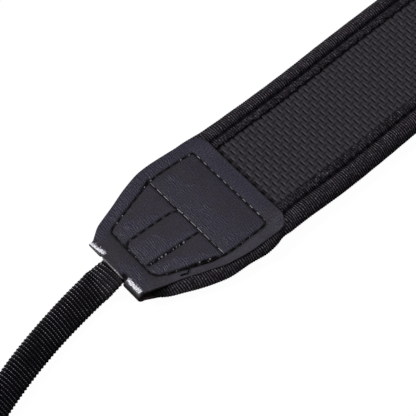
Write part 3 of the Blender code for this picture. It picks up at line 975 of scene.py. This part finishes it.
def tab_lanes():
    """List the tab's columns as shares of its half width, with the slot's sides among them."""
    narrow = TAB_SHAPE.half_width[0]
    slot = [(SLOT_MIDDLE - SLOT_HALF) / narrow, (SLOT_MIDDLE + SLOT_HALF) / narrow]
    rim = np.array([0, 0.004, 0.011, 0.028])
    left = np.concatenate([-1 + rim, np.linspace(-0.952, slot[0], 37)])
    middle = np.linspace(slot[0], slot[1], 65)[1:]
    right = np.concatenate([np.linspace(slot[1], 0.952, 29)[1:], 1 - rim[::-1]])
    return np.concatenate([left, middle, right])


def tab_profile():
    """List the tab's rows from the upper wide end round the fold: place, height and angle."""
    rim = np.array([0, 0.08, 0.2, 0.45])
    field = TAB_LENGTH - 0.85
    upper = TAB_LENGTH - np.concatenate([rim, np.linspace(0.85, TAB_LENGTH - FOLD_RADIUS, 157)])
    turns = np.radians(np.concatenate([
        np.linspace(90, SLOT_TOP, 9)[1:],
        np.linspace(SLOT_TOP, SLOT_FOOT, 21)[1:],
        np.linspace(SLOT_FOOT, -90, 5)[1:],
    ]))
    lower = np.concatenate([np.linspace(FOLD_RADIUS, field, 78)[2:], TAB_LENGTH - rim[::-1]])
    from_fold = np.concatenate([upper, FOLD_RADIUS * (1 - np.cos(turns)), lower])
    top = through(TAB_SHAPE, "top", upper)
    height = np.concatenate([top, FOLD_RADIUS * (1 + np.sin(turns)), 0 * lower])
    angle = np.concatenate([0 * upper + math.pi / 2, turns, 0 * lower - math.pi / 2])
    return from_fold, height, angle


# The tab's leather as a grid: where each point lies, the angle at which it faces, and how far away
# it is from the fold's middle line along the leather, which the route counts below 0 underneath
Sheet = namedtuple("Sheet", "from_fold across height turn upper lower past_fold away route columns")


def tab_sheet():
    """Lay out the tab's leather."""
    profile, lanes = tab_profile(), tab_lanes()
    shape = (len(profile[0]), len(lanes))
    from_fold, height, turn = (np.broadcast_to(column[:, None], shape) for column in profile)
    upper, lower = turn > 1.5, turn < -1.5
    across = lanes * tab_half(from_fold, lanes > 0, upper)
    past_fold = np.where(upper | lower, from_fold - FOLD_RADIUS, 0)
    away = np.abs(turn) * FOLD_RADIUS + past_fold
    route = np.where(turn > 0, away, -away)
    columns = lanes * TAB_SHAPE.half_width[-1]
    return Sheet(from_fold, across, height, turn, upper, lower, past_fold, away, route, columns)


def tab_seams():
    """Walk every seam of a tab: its points, and how many stitches lie before each."""
    seams = []
    for seam in SEAMS:
        points, at = rounded(seam.path, SEAM_STEP)
        seams.append((points, at / at[-1] * max(1, round(at[-1] / seam.pitch))))
    return seams


def seam_field(from_fold, across, seams, along=1.0):
    """Give each point's distance to the nearest seam, its place there counted in stitches, and how
    much that seam runs across the strap.

    A factor along below 1 counts distance along the strap for less than distance across it.
    """
    points = np.concatenate([path for path, _ in seams])
    places = np.concatenate([at for _, at in seams])
    crossing = np.concatenate([np.abs(np.gradient(path[:, 1])) for path, _ in seams]) / SEAM_STEP
    tree = kdtree.KDTree(len(points))
    for i, (u, y) in enumerate(points):
        tree.insert((u * along, y, 0), i)
    tree.balance()
    found = [tree.find((u * along, y, 0))[1:] for u, y in zip(from_fold.ravel(), across.ravel())]
    nearest, distance = np.array(found).T
    nearest = nearest.astype(int)
    columns = distance, places[nearest], crossing[nearest]
    return (column.reshape(from_fold.shape) for column in columns)


def inside_outline(from_fold, across, outline):
    """Tell which points lie inside the outline seam."""
    inside = np.zeros(from_fold.shape, bool)
    for (u0, y0), (u1, y1) in zip(outline, np.roll(outline, -1, axis=0)):
        crosses = (u0 > from_fold) != (u1 > from_fold)
        run = np.where(u1 == u0, 1e-9, u1 - u0)
        at = y0 + (from_fold - u0) / run * (y1 - y0)
        inside ^= crosses & (across < at)
    return inside


def softened(heights, rows, columns):
    """Smooth a grid of heights over SOFTNESS, given its rows' and columns' places."""
    for places in (rows, columns):
        weights = bell(places[:, None] - places[None, :], SOFTNESS)
        weights /= weights.sum(axis=1)[:, None]
        heights = (weights @ heights).T
    return heights


def tab_lean(sheet, inside, swell, distance):
    """Give how far the leather leans towards the light, for its painted sheen, from its slopes and at a
    few spots.
    """
    swell_rise, way_out = (
        np.gradient(field, sheet.route[:, 0], axis=0) + np.gradient(field, sheet.columns, axis=1)
        for field in (swell, distance)
    )
    slopes = np.where(inside, SWELL_LEAN * swell_rise, MARGIN_LEAN * way_out)
    lean = np.clip(0.5 + slopes, 0, 1)
    lean = lean * ramp(sheet.from_fold, TAB_LENGTH - 0.3, -0.9)
    near_corner = ramp(sheet.across, -11, -4) * (sheet.from_fold > WIDE_SEAM)
    lean = lean * (1 - CORNER_CALM * near_corner)
    for place, across, along, wide, power, rise in zip(*LEANING_SPOTS):
        off = np.hypot((sheet.from_fold - place) / along, (sheet.across - across) / wide)
        lean = lean + rise * np.exp(-(off**power))
    return np.clip(lean, 0, 1)


def tab_relief(sheet, seams):
    """Give the leather's height over its base, the painted shade of its seams and its lean towards the
    light.

    Its fields are puffed, its margin is raised and its seams are sunken.
    """
    from_fold, across = sheet.from_fold, sheet.across
    distance, place, crossing = seam_field(from_fold, across, seams[:-1])
    inside = inside_outline(from_fold, across, seams[0][0])
    into, _, _ = seam_field(from_fold, across, seams, along=0.3)
    field = PUFF * np.sin(np.clip(into / PUFF_REACH, 0, 1) * math.pi / 2)
    margin = MARGIN_RISE * np.sin(np.clip(distance / MARGIN_REACH, 0, 1) * math.pi / 2)
    swell = softened(np.where(inside, field, margin), sheet.route[:, 0], sheet.columns) - SWELL_BASE
    groove = bell(distance, SEAM_WIDTH)
    hole = groove * (0.5 + 0.5 * np.cos(2 * math.pi * place)) ** 4
    dip = SEAM_DIP[0] * bell(distance, SEAM_DIP[1])
    relief = swell - dip - SEAM_DEPTH * groove * SEAM_FLOOR - HOLE_DIP * hole
    # a seam's line of painted shade is broken at its holes, most of all near the tab's middle
    broken = 0.45 + 0.5 * ramp(np.abs(across), 9, -2)
    painted_shade = SEAM_DARK * bell(distance, SEAM_SHADE) * (1 - broken * hole * (1 - crossing))
    return relief, np.clip(painted_shade, 0, 1), tab_lean(sheet, inside, swell, distance)


def tab_rim(sheet, lip):
    """Give how far the leather's rounded edges, on its outline and in its slot, lie below its top."""
    slot_top, slot_foot = (math.radians(angle) * FOLD_RADIUS for angle in (SLOT_TOP, SLOT_FOOT))
    slot_gap = np.hypot(
        np.maximum(sheet.route - slot_top, 0) + np.maximum(slot_foot - sheet.route, 0),
        np.maximum(np.abs(sheet.across - SLOT_MIDDLE) - SLOT_HALF, 0),
    )
    half = tab_half(sheet.from_fold, sheet.across > 0, sheet.upper, corners=False)
    edge_gap = np.minimum(half - np.abs(sheet.across), TAB_LENGTH - sheet.from_fold)
    out_u = sheet.from_fold - (TAB_LENGTH - TAB_CORNER)
    out_y = np.abs(sheet.across) - (half - TAB_CORNER)
    in_corner = (out_u > 0) & (out_y > 0)
    edge_gap = np.where(in_corner, TAB_CORNER - np.hypot(out_u, out_y), edge_gap)
    size = RIM * (1 - LIP_THIN * lip)
    gap = np.clip(np.minimum(edge_gap, slot_gap), 0, size)
    return size - np.sqrt(size**2 - (size - gap) ** 2)


def tab_lip(sheet):
    """Give how far each point belongs to the upper leather's lips, which hang down and are thin."""
    half = tab_half(sheet.from_fold, sheet.across > 0, sheet.upper, corners=False)
    lip = (1 - ramp(half - np.abs(sheet.across), 0, LIP_REACH)) * sheet.upper
    return lip * ramp(sheet.from_fold, 3, 10)


def tab_lowered(sheet, lip):
    """Give how far the upper leather is pressed down at its lips and past its wide seam."""
    on_near = ramp(sheet.across, -8, -8)
    on_panel = 1 - ramp(np.abs(sheet.across), 9, 7)
    pressed_end = END_PRESS * ramp(sheet.from_fold, WIDE_SEAM, 5.6) * on_panel
    return (LIP_DROP[0] + on_near * (LIP_DROP[1] - LIP_DROP[0])) * lip + pressed_end * sheet.upper


def tab_glare(sheet, over_web):
    """Give the fold's patches of painted glare, and the painted highlight on the tongue's edge over the
    slot.
    """
    slope = np.where(sheet.across > 0, PATCH_LEAN * (PATCH_PIVOT - sheet.across), 0)
    from_patch = sheet.away - PATCH_AT - slope
    fade = np.where(from_patch > 0, PATCH_FADE[1], PATCH_FADE[0])
    crease = np.clip(1.18 - np.abs(from_patch) / fade, 0, 1)
    from_edge = sheet.route - math.radians(SLOT_TOP) * FOLD_RADIUS
    edge_highlight = over_web * bell(from_edge - EDGE_HIGHLIGHT_AT, EDGE_HIGHLIGHT_WIDTH)
    return crease * (sheet.turn > 0) * (1 - over_web) + EDGE_HIGHLIGHT_GLARE * edge_highlight, edge_highlight


def tab_crinkle(sheet, side):
    """Give a fine roughness all over the leather, another one at each end of the strap."""
    points = zip(sheet.away.ravel(), sheet.across.ravel(), sheet.turn.ravel())
    heights = [noise.noise((u * 1.5 + 40 * side, y * 0.9, t)) for u, y, t in points]
    return np.array(heights).reshape(sheet.turn.shape)


def tab_points(sheet, side, out, over_web, pressed):
    """Place the sheet's points, moved outwards, flat over the webbing and pressed at the far end."""
    turn = sheet.turn
    rise = curl(sheet.from_fold)
    raised = PINCH * pressed * np.maximum(2 * FOLD_RADIUS - sheet.height, 0)
    tucked = TUCK * pressed * (1 - np.sin(turn)) / 2
    z = sheet.height + raised + rise + out * np.sin(turn)
    x = STRAP_HALF - sheet.from_fold - tucked + out * np.cos(turn)
    flat = over_web * ((turn < 1.57) & (turn > 0))
    z = z + flat * (2 * FOLD_RADIUS + rise + out - z)
    x = x + flat * (STRAP_HALF - FOLD_RADIUS * (1 - math.pi / 2) - FOLD_RADIUS * turn - x)
    return np.stack([side * x, BAND_Y + sheet.across, z], axis=2)


def tab_blocks(sheet):
    """Tell which blocks of the grid are kept: all but those in the slot."""
    rows, columns = sheet.turn.shape[0] // TAB_FINE, sheet.turn.shape[1] // TAB_FINE
    middles = slice(TAB_FINE // 2, None, TAB_FINE)
    turn, y = (grid[middles, middles][:rows, :columns] for grid in (sheet.turn, sheet.across))
    in_slot = (turn < math.radians(SLOT_TOP)) & (turn > math.radians(SLOT_FOOT))
    return ~(in_slot & (np.abs(y - SLOT_MIDDLE) < SLOT_HALF))


def make_tab(name, side, material, seams):
    """Make a leather tab: one sheet round the band's end, pulled in along its seams."""
    sheet = tab_sheet()
    across, turn = sheet.across, sheet.turn
    relief, painted_shade, lean = tab_relief(sheet, seams)
    lip = tab_lip(sheet)
    drop = tab_rim(sheet, lip)
    lowered = tab_lowered(sheet, lip)
    over_web = TONGUE_LIFT * ramp(SLOT_HALF - np.abs(across - SLOT_MIDDLE), 0, 1.3) * (turn > 0)
    crease, edge_highlight = tab_glare(sheet, over_web)

    settle = np.clip(sheet.past_fold / 4, 0, 1)
    bulge = np.where(sheet.upper, relief, np.where(sheet.lower, np.minimum(relief, 0), 0)) * settle
    notch = bell(np.hypot(sheet.route - NOTCH[0], across - NOTCH[1]) / NOTCH[2], 1) * (turn > 0)
    bulge = bulge + CRINKLE * crease * tab_crinkle(sheet, side) - NOTCH_DEPTH * notch - drop - lowered
    crease = crease * (1 - notch) * ramp(across, -11.9, 1.3)
    front = FRONT_SHADE * ramp(across, 2, -6) * smooth(np.clip(1.6 - np.abs(turn) * 1.7, 0, 1))

    pressed = ramp(across, -2, 8) * (1 - ramp(sheet.from_fold, 0, PINCH_REACH))
    thick = LEATHER * (1 - SKIVED * pressed * (np.abs(turn) < 1.57)) * (1 - LIP_THIN * lip)
    under = np.minimum(drop - thick + 0.5 * np.maximum(bulge, 0) - lowered, bulge - THINNEST)
    outer = tab_points(sheet, side, bulge, over_web, pressed)
    outer[..., 2] = np.maximum(outer[..., 2], TABLE_GAP)
    inner = tab_points(sheet, side, under, over_web, pressed)[::TAB_FINE, ::TAB_FINE]

    layers = {
        "cloth": (np.stack([sheet.route, across, 0 * across + 20 * side], axis=2), None),
        "crease": (crease, 0),
        "flesh": (0 * crease, 1),
        # painted shade: along the seams, on the fold's front and in the dent
        "painted_shade": (np.where(sheet.upper | sheet.lower, painted_shade, front) + 1.7 * notch, 0),
        "edge_highlight": (edge_highlight, 0),
        "tilt": (lean, 0),
    }
    return add_shell(name, outer, inner, tab_blocks(sheet), TAB_FINE, material, layers,
                     flip=side > 0)


# ---------------- the stitches


def stitch_line(path, places, k, seam, stray):
    """Walk a stitch's middle: places along and across, direction, and how far along its seam."""
    share = np.linspace(0, 1, STITCH_RINGS)
    before, after = np.interp((k, k + 1), places, path[:, 1])
    gap = seam.gap + OPENED * min(1, abs(after - before) / seam.pitch) * (seam.gap > CLOSE)
    s = (stray[0] + gap / 2 + share * (seam.pitch - gap)) / seam.pitch
    u, y = (np.interp(s + k, places, path[:, c]) for c in (0, 1))
    y = y + stray[1] + stray[2] * share
    du, dy = np.gradient(u), np.gradient(y)
    length = np.hypot(du, dy)
    return u, y, du / length, dy / length, s


def stitch_light(seam, k, u, dy, stray):
    """Give how much painted highlight a stitch gets at each of its rings."""
    share = np.linspace(0, 1, STITCH_RINGS)
    bright = np.abs(dy) * (0.83 + 0.17 * ramp(u, 12, 8)) - 0.10 * abs(stray[1]) / STITCH_STRAY
    shining = (np.abs(share - 0.5) < 0.2) * (k % 7 not in (1, 4))
    bright = np.maximum(bright, seam.gloss * shining)
    bright[-3:-1] = np.maximum(bright[-3:-1], 0.9 * (k % 5 < 2) * (seam.gloss >= 0))
    return bright


def stitches(path, places, seam, height_at, side, sink=0.5, upside=1):
    """Make the points and faces of a row of stitches, given each seam point's place in stitches."""
    count = round(places[-1])
    strays = np.random.default_rng(count).normal(0, STITCH_STRAY, (count, 3))
    corners = STITCH_RINGS * STITCH_SIDES
    ply = np.linspace(0, 2 * math.pi, STITCH_SIDES, endpoint=False)
    dive = np.abs(2 * np.linspace(0, 1, STITCH_RINGS) - 1) ** 5
    one = [face[::-side] for face in tube_faces(STITCH_RINGS, STITCH_SIDES)]
    points, faces, cloth, lit = [], [], [], []
    for k, stray in enumerate(strays):
        u, y, du, dy, s = stitch_line(path, places, k, seam, stray)
        z = height_at(u) + upside * (seam.radius * sink - STITCH_DIVE * dive - STITCH_SINK * np.abs(du))
        u = u + THREAD_SHIFT * np.abs(dy)
        twist = ply - 2 * PLY_TURNS * math.pi * s[:, None]
        girth = seam.radius * (1 + PLY * np.cos(2 * twist)) * (1 - STITCH_SLIM * dive[:, None])
        girth = girth * (0.70 + STITCH_STOUT * np.abs(du[:, None]))
        out = np.cos(ply) * girth
        points.append(np.stack([
            side * (STRAP_HALF - (u[:, None] - dy[:, None] * out)),
            BAND_Y + y[:, None] + du[:, None] * out,
            z[:, None] + np.sin(ply) * girth,
        ], axis=2).reshape(-1, 3))
        faces += [[corner + k * corners for corner in face] for face in one]
        along = np.repeat(s * seam.pitch, STITCH_SIDES)
        cloth.append(np.stack([along, np.tile(ply, STITCH_RINGS), np.full(corners, k * 3.7)], axis=1))
        lit.append(np.repeat(stitch_light(seam, k, u, dy, stray), STITCH_SIDES))
    return np.concatenate(points), faces, np.concatenate(cloth), np.concatenate(lit)


def add_stitches(name, parts, material):
    """Make one piece of several rows of stitches."""
    faces, base = [], 0
    for points, part_faces, _, _ in parts:
        faces += [[corner + base for corner in face] for face in part_faces]
        base += len(points)
    points, cloth, lit = (np.concatenate([part[k] for part in parts]) for k in (0, 2, 3))
    return add_piece(name, points, faces, material, {"cloth": cloth, "lit": lit})


def make_tab_stitches(name, side, material, seams):
    """Make a tab's stitches, above and below."""
    groove = SEAM_DEPTH * SEAM_FLOOR

    def upper(u):
        return through(TAB_SHAPE, "top", u) + curl(u) - STITCH_LOWERED[0] - groove

    def lower(u):
        return curl(u) + groove + STITCH_LOWERED[1]

    parts = [stitches(*walked, seam, upper, side) for walked, seam in zip(seams, SEAMS)]
    under = Seam(None, STITCH, 0.35, THREAD, 0)
    parts += [stitches(*walked, under, lower, side, 0.3, -1) for walked in seams[:MAIN_SEAMS]]
    add_stitches(name, parts, material)


def make_binding_stitches(name, side, material):
    """Make the stitches in a binding's groove, between the tabs."""
    first = BINDING_STITCH * (TAB_LENGTH // BINDING_STITCH)
    u = np.arange(first, 2 * STRAP_HALF - first + 0.2, 0.4)
    from_fold = STRAP_HALF - np.abs(STRAP_HALF - u)
    edge = through(BAND_END, "half_width", from_fold)
    middle = band_middle(from_fold) - BAND_Y
    path = np.stack([u, middle + side * (edge - GROOVE_INSET)], axis=1)

    def height_at(place):
        return band_height(BINDING_STITCH_HEIGHT + 0 * place, STRAP_HALF - np.abs(STRAP_HALF - place))

    seam = Seam(None, BINDING_STITCH, 1.2, 0.17, 0)
    row = stitches(path, (u - first) / BINDING_STITCH, seam, height_at, -1, 0.1)
    add_stitches(name, [row], material)


# ---------------- the webbing


def loop_legs():
    """Give the end loop's legs: a flare, the round end, a flare and the layer that returns."""
    lift, twist = TAIL_LEGS[-1].lift, TAIL_LEGS[-1].twist
    flare = math.radians(FLARE_TURN)
    radius = (LAYER_PITCH / 2 + FLARE_RADIUS * (1 - math.cos(flare))) / math.cos(flare)
    turn = 180 + 2 * FLARE_TURN
    return [
        Leg(FLARE_RADIUS * flare, lift, -FLARE_TURN, twist),
        Leg(radius * math.radians(turn), lift, turn, twist),
        Leg(FLARE_RADIUS * flare, lift, -FLARE_TURN, twist),
        Leg(RETURN_LENGTH, lift, 0, twist),
    ]


def webbing_route(step):
    """Walk the webbing's middle in even steps: place, heading and twist, from inside the tab."""
    inner_u = np.arange(INNER_WEB.from_fold[-1], 0, -step)
    inner_z = through(INNER_WEB, "height", inner_u) + curl(inner_u)
    turned = math.radians(TAIL_START_HEADING) * smooth(np.clip(1 - inner_u / 9, 0, 1))
    rows = [np.stack([-inner_u, 0 * inner_u, inner_z, turned, 0 * inner_u], axis=1)]
    x = y = 0.0
    heading, twist = math.radians(TAIL_START_HEADING), 0.0
    lift = INNER_WEB.height[0] + curl(0) - WEB_THICK / 2
    for leg in TAIL_LEGS + loop_legs():
        count = round(leg.length / step)
        share = np.arange(1, count + 1) / count
        turned = heading + math.radians(leg.turn) * share
        middle = turned - math.radians(leg.turn) / count / 2
        xs = x + np.cumsum(np.cos(middle)) * leg.length / count
        ys = y - np.cumsum(np.sin(middle)) * leg.length / count
        eased = smooth(share)
        twists = np.radians(twist + (leg.twist - twist) * eased)
        low = lift + (leg.lift - lift) * eased
        z = low + WEB_WIDTH / 2 * np.sin(twists) + WEB_THICK / 2 * np.cos(twists)
        rows.append(np.stack([xs, ys, z, turned, twists], axis=1))
        x, y, heading = xs[-1], ys[-1], turned[-1]
        twist, lift = leg.twist, leg.lift
    return np.concatenate(rows)


def webbing_section():
    """List the points of the webbing's section: place across, and place up as a share."""
    flat = np.linspace(-1, 1, 13)[1:-1] * (WEB_WIDTH / 2 - 0.45)
    turn = np.radians(np.array([60, 20, -20, -60]))
    edge = WEB_WIDTH / 2 - WEB_EDGE + WEB_EDGE * np.cos(turn)
    across = np.concatenate([flat, edge, flat[::-1], -edge])
    up = np.concatenate([1 + 0 * flat, np.sin(turn), -1 + 0 * flat, -np.sin(turn)])
    return across, up


def make_webbing(name, side, material):
    """Make a webbing, with ribs across it and scalloped edges."""
    step = WEB_RIB / WEB_RIB_STEPS
    route = webbing_route(step)
    across, up = webbing_section()
    at = np.arange(len(route))[:, None] * step
    share = across / (WEB_WIDTH / 2)
    phase = at + WEB_BOW * (1 - share**2) + np.where(up < 0, WEB_RIB / 2, 0)
    rib = (0.5 + 0.5 * np.cos(2 * math.pi * phase / WEB_RIB)) ** 1.4
    half = WEB_THICK / 2 - WEB_RIB_DEPTH * (1 - rib)
    outside = ramp(at, CUP_FROM, 12) * ramp(at, at[-1] - CUP_UNTIL, -15)
    cup = WEB_CUP * (1 - share**2) * outside
    out_up = up * half + cup - WEB_CUP * 0.5 * outside
    out_across = across * (1 - WEB_SCALLOP * (1 - rib) * np.abs(share) ** 6)
    x, y, z, heading, twist = (column[:, None] for column in route.T)
    flat = out_across * np.cos(twist) - out_up * np.sin(twist)
    rise = out_across * np.sin(twist) + out_up * np.cos(twist)
    points = np.stack([
        side * (STRAP_HALF + x + flat * np.sin(heading)),
        BAND_Y + WEB_OFFSET + y + flat * np.cos(heading),
        np.maximum(z + rise, 2 * TABLE_GAP),
    ], axis=2)
    layers = {"cloth": np.stack([phase, across + 0 * phase, up + 0 * phase], axis=2), "rib": rib}
    return add_tube(name, points, material, layers, flip=side > 0)


def make_slider(name, node, material):
    """Make a moulded sleeve with rounded corners, softened lips and two grip ribs."""
    low, high = node_box(node)
    half = (high - low) / 2
    starts = (0, 90, 180, 270)
    turns = np.radians(np.concatenate([np.linspace(a, a + 90, CORNER_STEPS) for a in starts]))
    corners = np.repeat([(1, 1), (-1, 1), (-1, -1), (1, -1)], CORNER_STEPS, axis=0)

    def ring(half_x, half_z, radius, y):
        """Walk a rectangle with round corners, backwards."""
        centres = corners * (half_x - radius, half_z - radius)
        x, z = (centres + radius * np.stack([np.cos(turns), np.sin(turns)], axis=1))[::-1].T
        return np.stack([x, 0 * x + y, z], axis=1)

    rings = []
    for share in np.linspace(-1, 1, 41):
        lip = 1 - np.sqrt(1 - np.clip((abs(share) - 1) / LIP_SHARE + 1, 0, 1) ** 2)
        grip = GRIP * sum(bell(share - at, GRIP_WIDTH) for at in (-GRIP_AT, GRIP_AT))
        half_x = half[0] - GRIP + grip - SLIDER_LIP * lip
        half_z = half[2] - SLIDER_SEAT - SLIDER_LIP * lip
        rings.append(ring(half_x, half_z, SLIDER_CORNER, share * half[1]))
    for share in np.linspace(1, -1, 21):
        wall = SLIDER_WALL - MOUTH * np.clip((abs(share) - 1) / MOUTH_SHARE + 1, 0, 1) ** 2
        y = share * half[1] * HOLE_SHARE
        rings.append(ring(half[0] - wall, half[2] - wall, SLIDER_HOLE_CORNER, y))
    cloth = np.concatenate(rings)
    faces = grid_faces(len(rings), len(turns), close_rows=True, close_columns=True).tolist()
    layers = {"cloth": cloth}
    slider = add_piece(name, (low + high) / 2 + cloth, faces, material, layers)
    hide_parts(node)


# ---------------- floor, light and camera

# The camera stands where the photograph was taken from, with a long lens
FOCAL_PIXELS = 2200
FRAME_PIXELS = 416
SENSOR = 36
CAMERA_ELEVATION = 57.693  # degrees over the table
CAMERA_HEADING = 50.573  # degrees from +X towards +Y, the way it looks
CAMERA_ROLL = -1.702
CAMERA_DISTANCE = 699.1
ORIGIN_RIGHT = 198.16  # the origin lies this far to the right of the picture's middle
ORIGIN_UP = 69.275  # and this far above it

FLOOR_REACH = 12  # metres
FILL = 0.06  # strength of the sky
LIT = Vector((-0.15, 0.05, 0))  # metres; the lights face this place
LIGHT_DISTANCE = 1.6  # metres

# Each light's name, direction from what it lights, size in metres, power and colour
LIGHTS = (
    ("key", (-0.72, 0.40, 0.57), 0.30, 30, (1, 1, 1)),
    ("cool_top", (0.31, 0.0, 0.95), 0.9, 10.5, (0.78, 0.80, 1.0)),
    ("front_fill", (-0.45, -0.75, 0.40), 1.0, 3, (1, 1, 1)),
)


def add_object(name, data):
    """Put an object into the scene."""
    added = bpy.data.objects.new(name, data)
    bpy.context.scene.collection.objects.link(added)
    return added


def add_camera():
    """Place the camera, turned to its heading, its elevation and its roll."""
    turned = (
        Matrix.Rotation(math.radians(CAMERA_HEADING - 90), 3, "Z")
        @ Matrix.Rotation(math.radians(90 - CAMERA_ELEVATION), 3, "X")
        @ Matrix.Rotation(math.radians(CAMERA_ROLL), 3, "Z")
    )
    place = turned @ Vector((-ORIGIN_RIGHT, -ORIGIN_UP, CAMERA_DISTANCE)) * MM
    data = bpy.data.cameras.new("camera")
    data.sensor_width = SENSOR
    data.lens = FOCAL_PIXELS / FRAME_PIXELS * SENSOR
    data.clip_start, data.clip_end = 0.05, 50
    camera = add_object("camera", data)
    camera.matrix_world = Matrix.Translation(place) @ turned.to_4x4()
    bpy.context.scene.camera = camera


def add_light(name, towards, size, power, colour):
    """Place a soft light that faces what it lights."""
    data = bpy.data.lights.new(name, "AREA")
    data.shape = "DISK"
    data.size = size
    data.energy = power
    data.color = colour
    light = add_object(name, data)
    direction = Vector(towards).normalized()
    light.location = LIT + direction * LIGHT_DISTANCE
    light.rotation_mode = "QUATERNION"
    light.rotation_quaternion = direction.to_track_quat("Z", "Y")


def add_studio():
    """Make the floor, the lights and the sky's soft fill."""
    mesh = bpy.data.meshes.new("floor")
    corners = [(x * FLOOR_REACH, y * FLOOR_REACH, 0) for x, y in ((-1, -1), (1, -1), (1, 1), (-1, 1))]
    mesh.from_pydata(corners, [], [(0, 1, 2, 3)])
    mesh.materials.append(floor_material())
    floor = add_object("floor", mesh)
    floor.visible_glossy = floor.visible_diffuse = False
    for light in LIGHTS:
        add_light(*light)

    world = bpy.data.worlds.new("studio")
    world.use_nodes = True
    sky = world.node_tree.nodes["Background"]
    sky.inputs["Color"].default_value = (1, 1, 1, 1)
    sky.inputs["Strength"].default_value = FILL
    bpy.context.scene.world = world
    bpy.context.scene.view_settings.view_transform = "Standard"


# ---------------- the whole strap


def main():
    """Make every piece, the studio and the camera."""
    add_camera()
    add_studio()
    knit, leather, webbing = knit_material(), leather_material(), webbing_material()
    thread, plastic = thread_material(), slider_material()

    make_foam(foam_material())
    make_panel(facing_material())
    for place, side in (("far", 1), ("near", -1)):
        binding = make_binding("binding_" + place, side, knit)
        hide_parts("edge_binding_" + place)
        make_binding_stitches("binding_stitches_" + place, side, thread)
    seams = tab_seams()
    for end, side in (("left", -1), ("right", 1)):
        tab = make_tab("leather_tab_" + end, side, leather, seams)
        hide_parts("end_tab_" + end)
        make_tab_stitches("tab_stitches_" + end, side, thread, seams)
        strap = make_webbing("ribbed_webbing_" + end, side, webbing)
        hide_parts("webbing_" + end)
        make_slider("sleeve_" + end, "slider_" + end, plastic)


main()
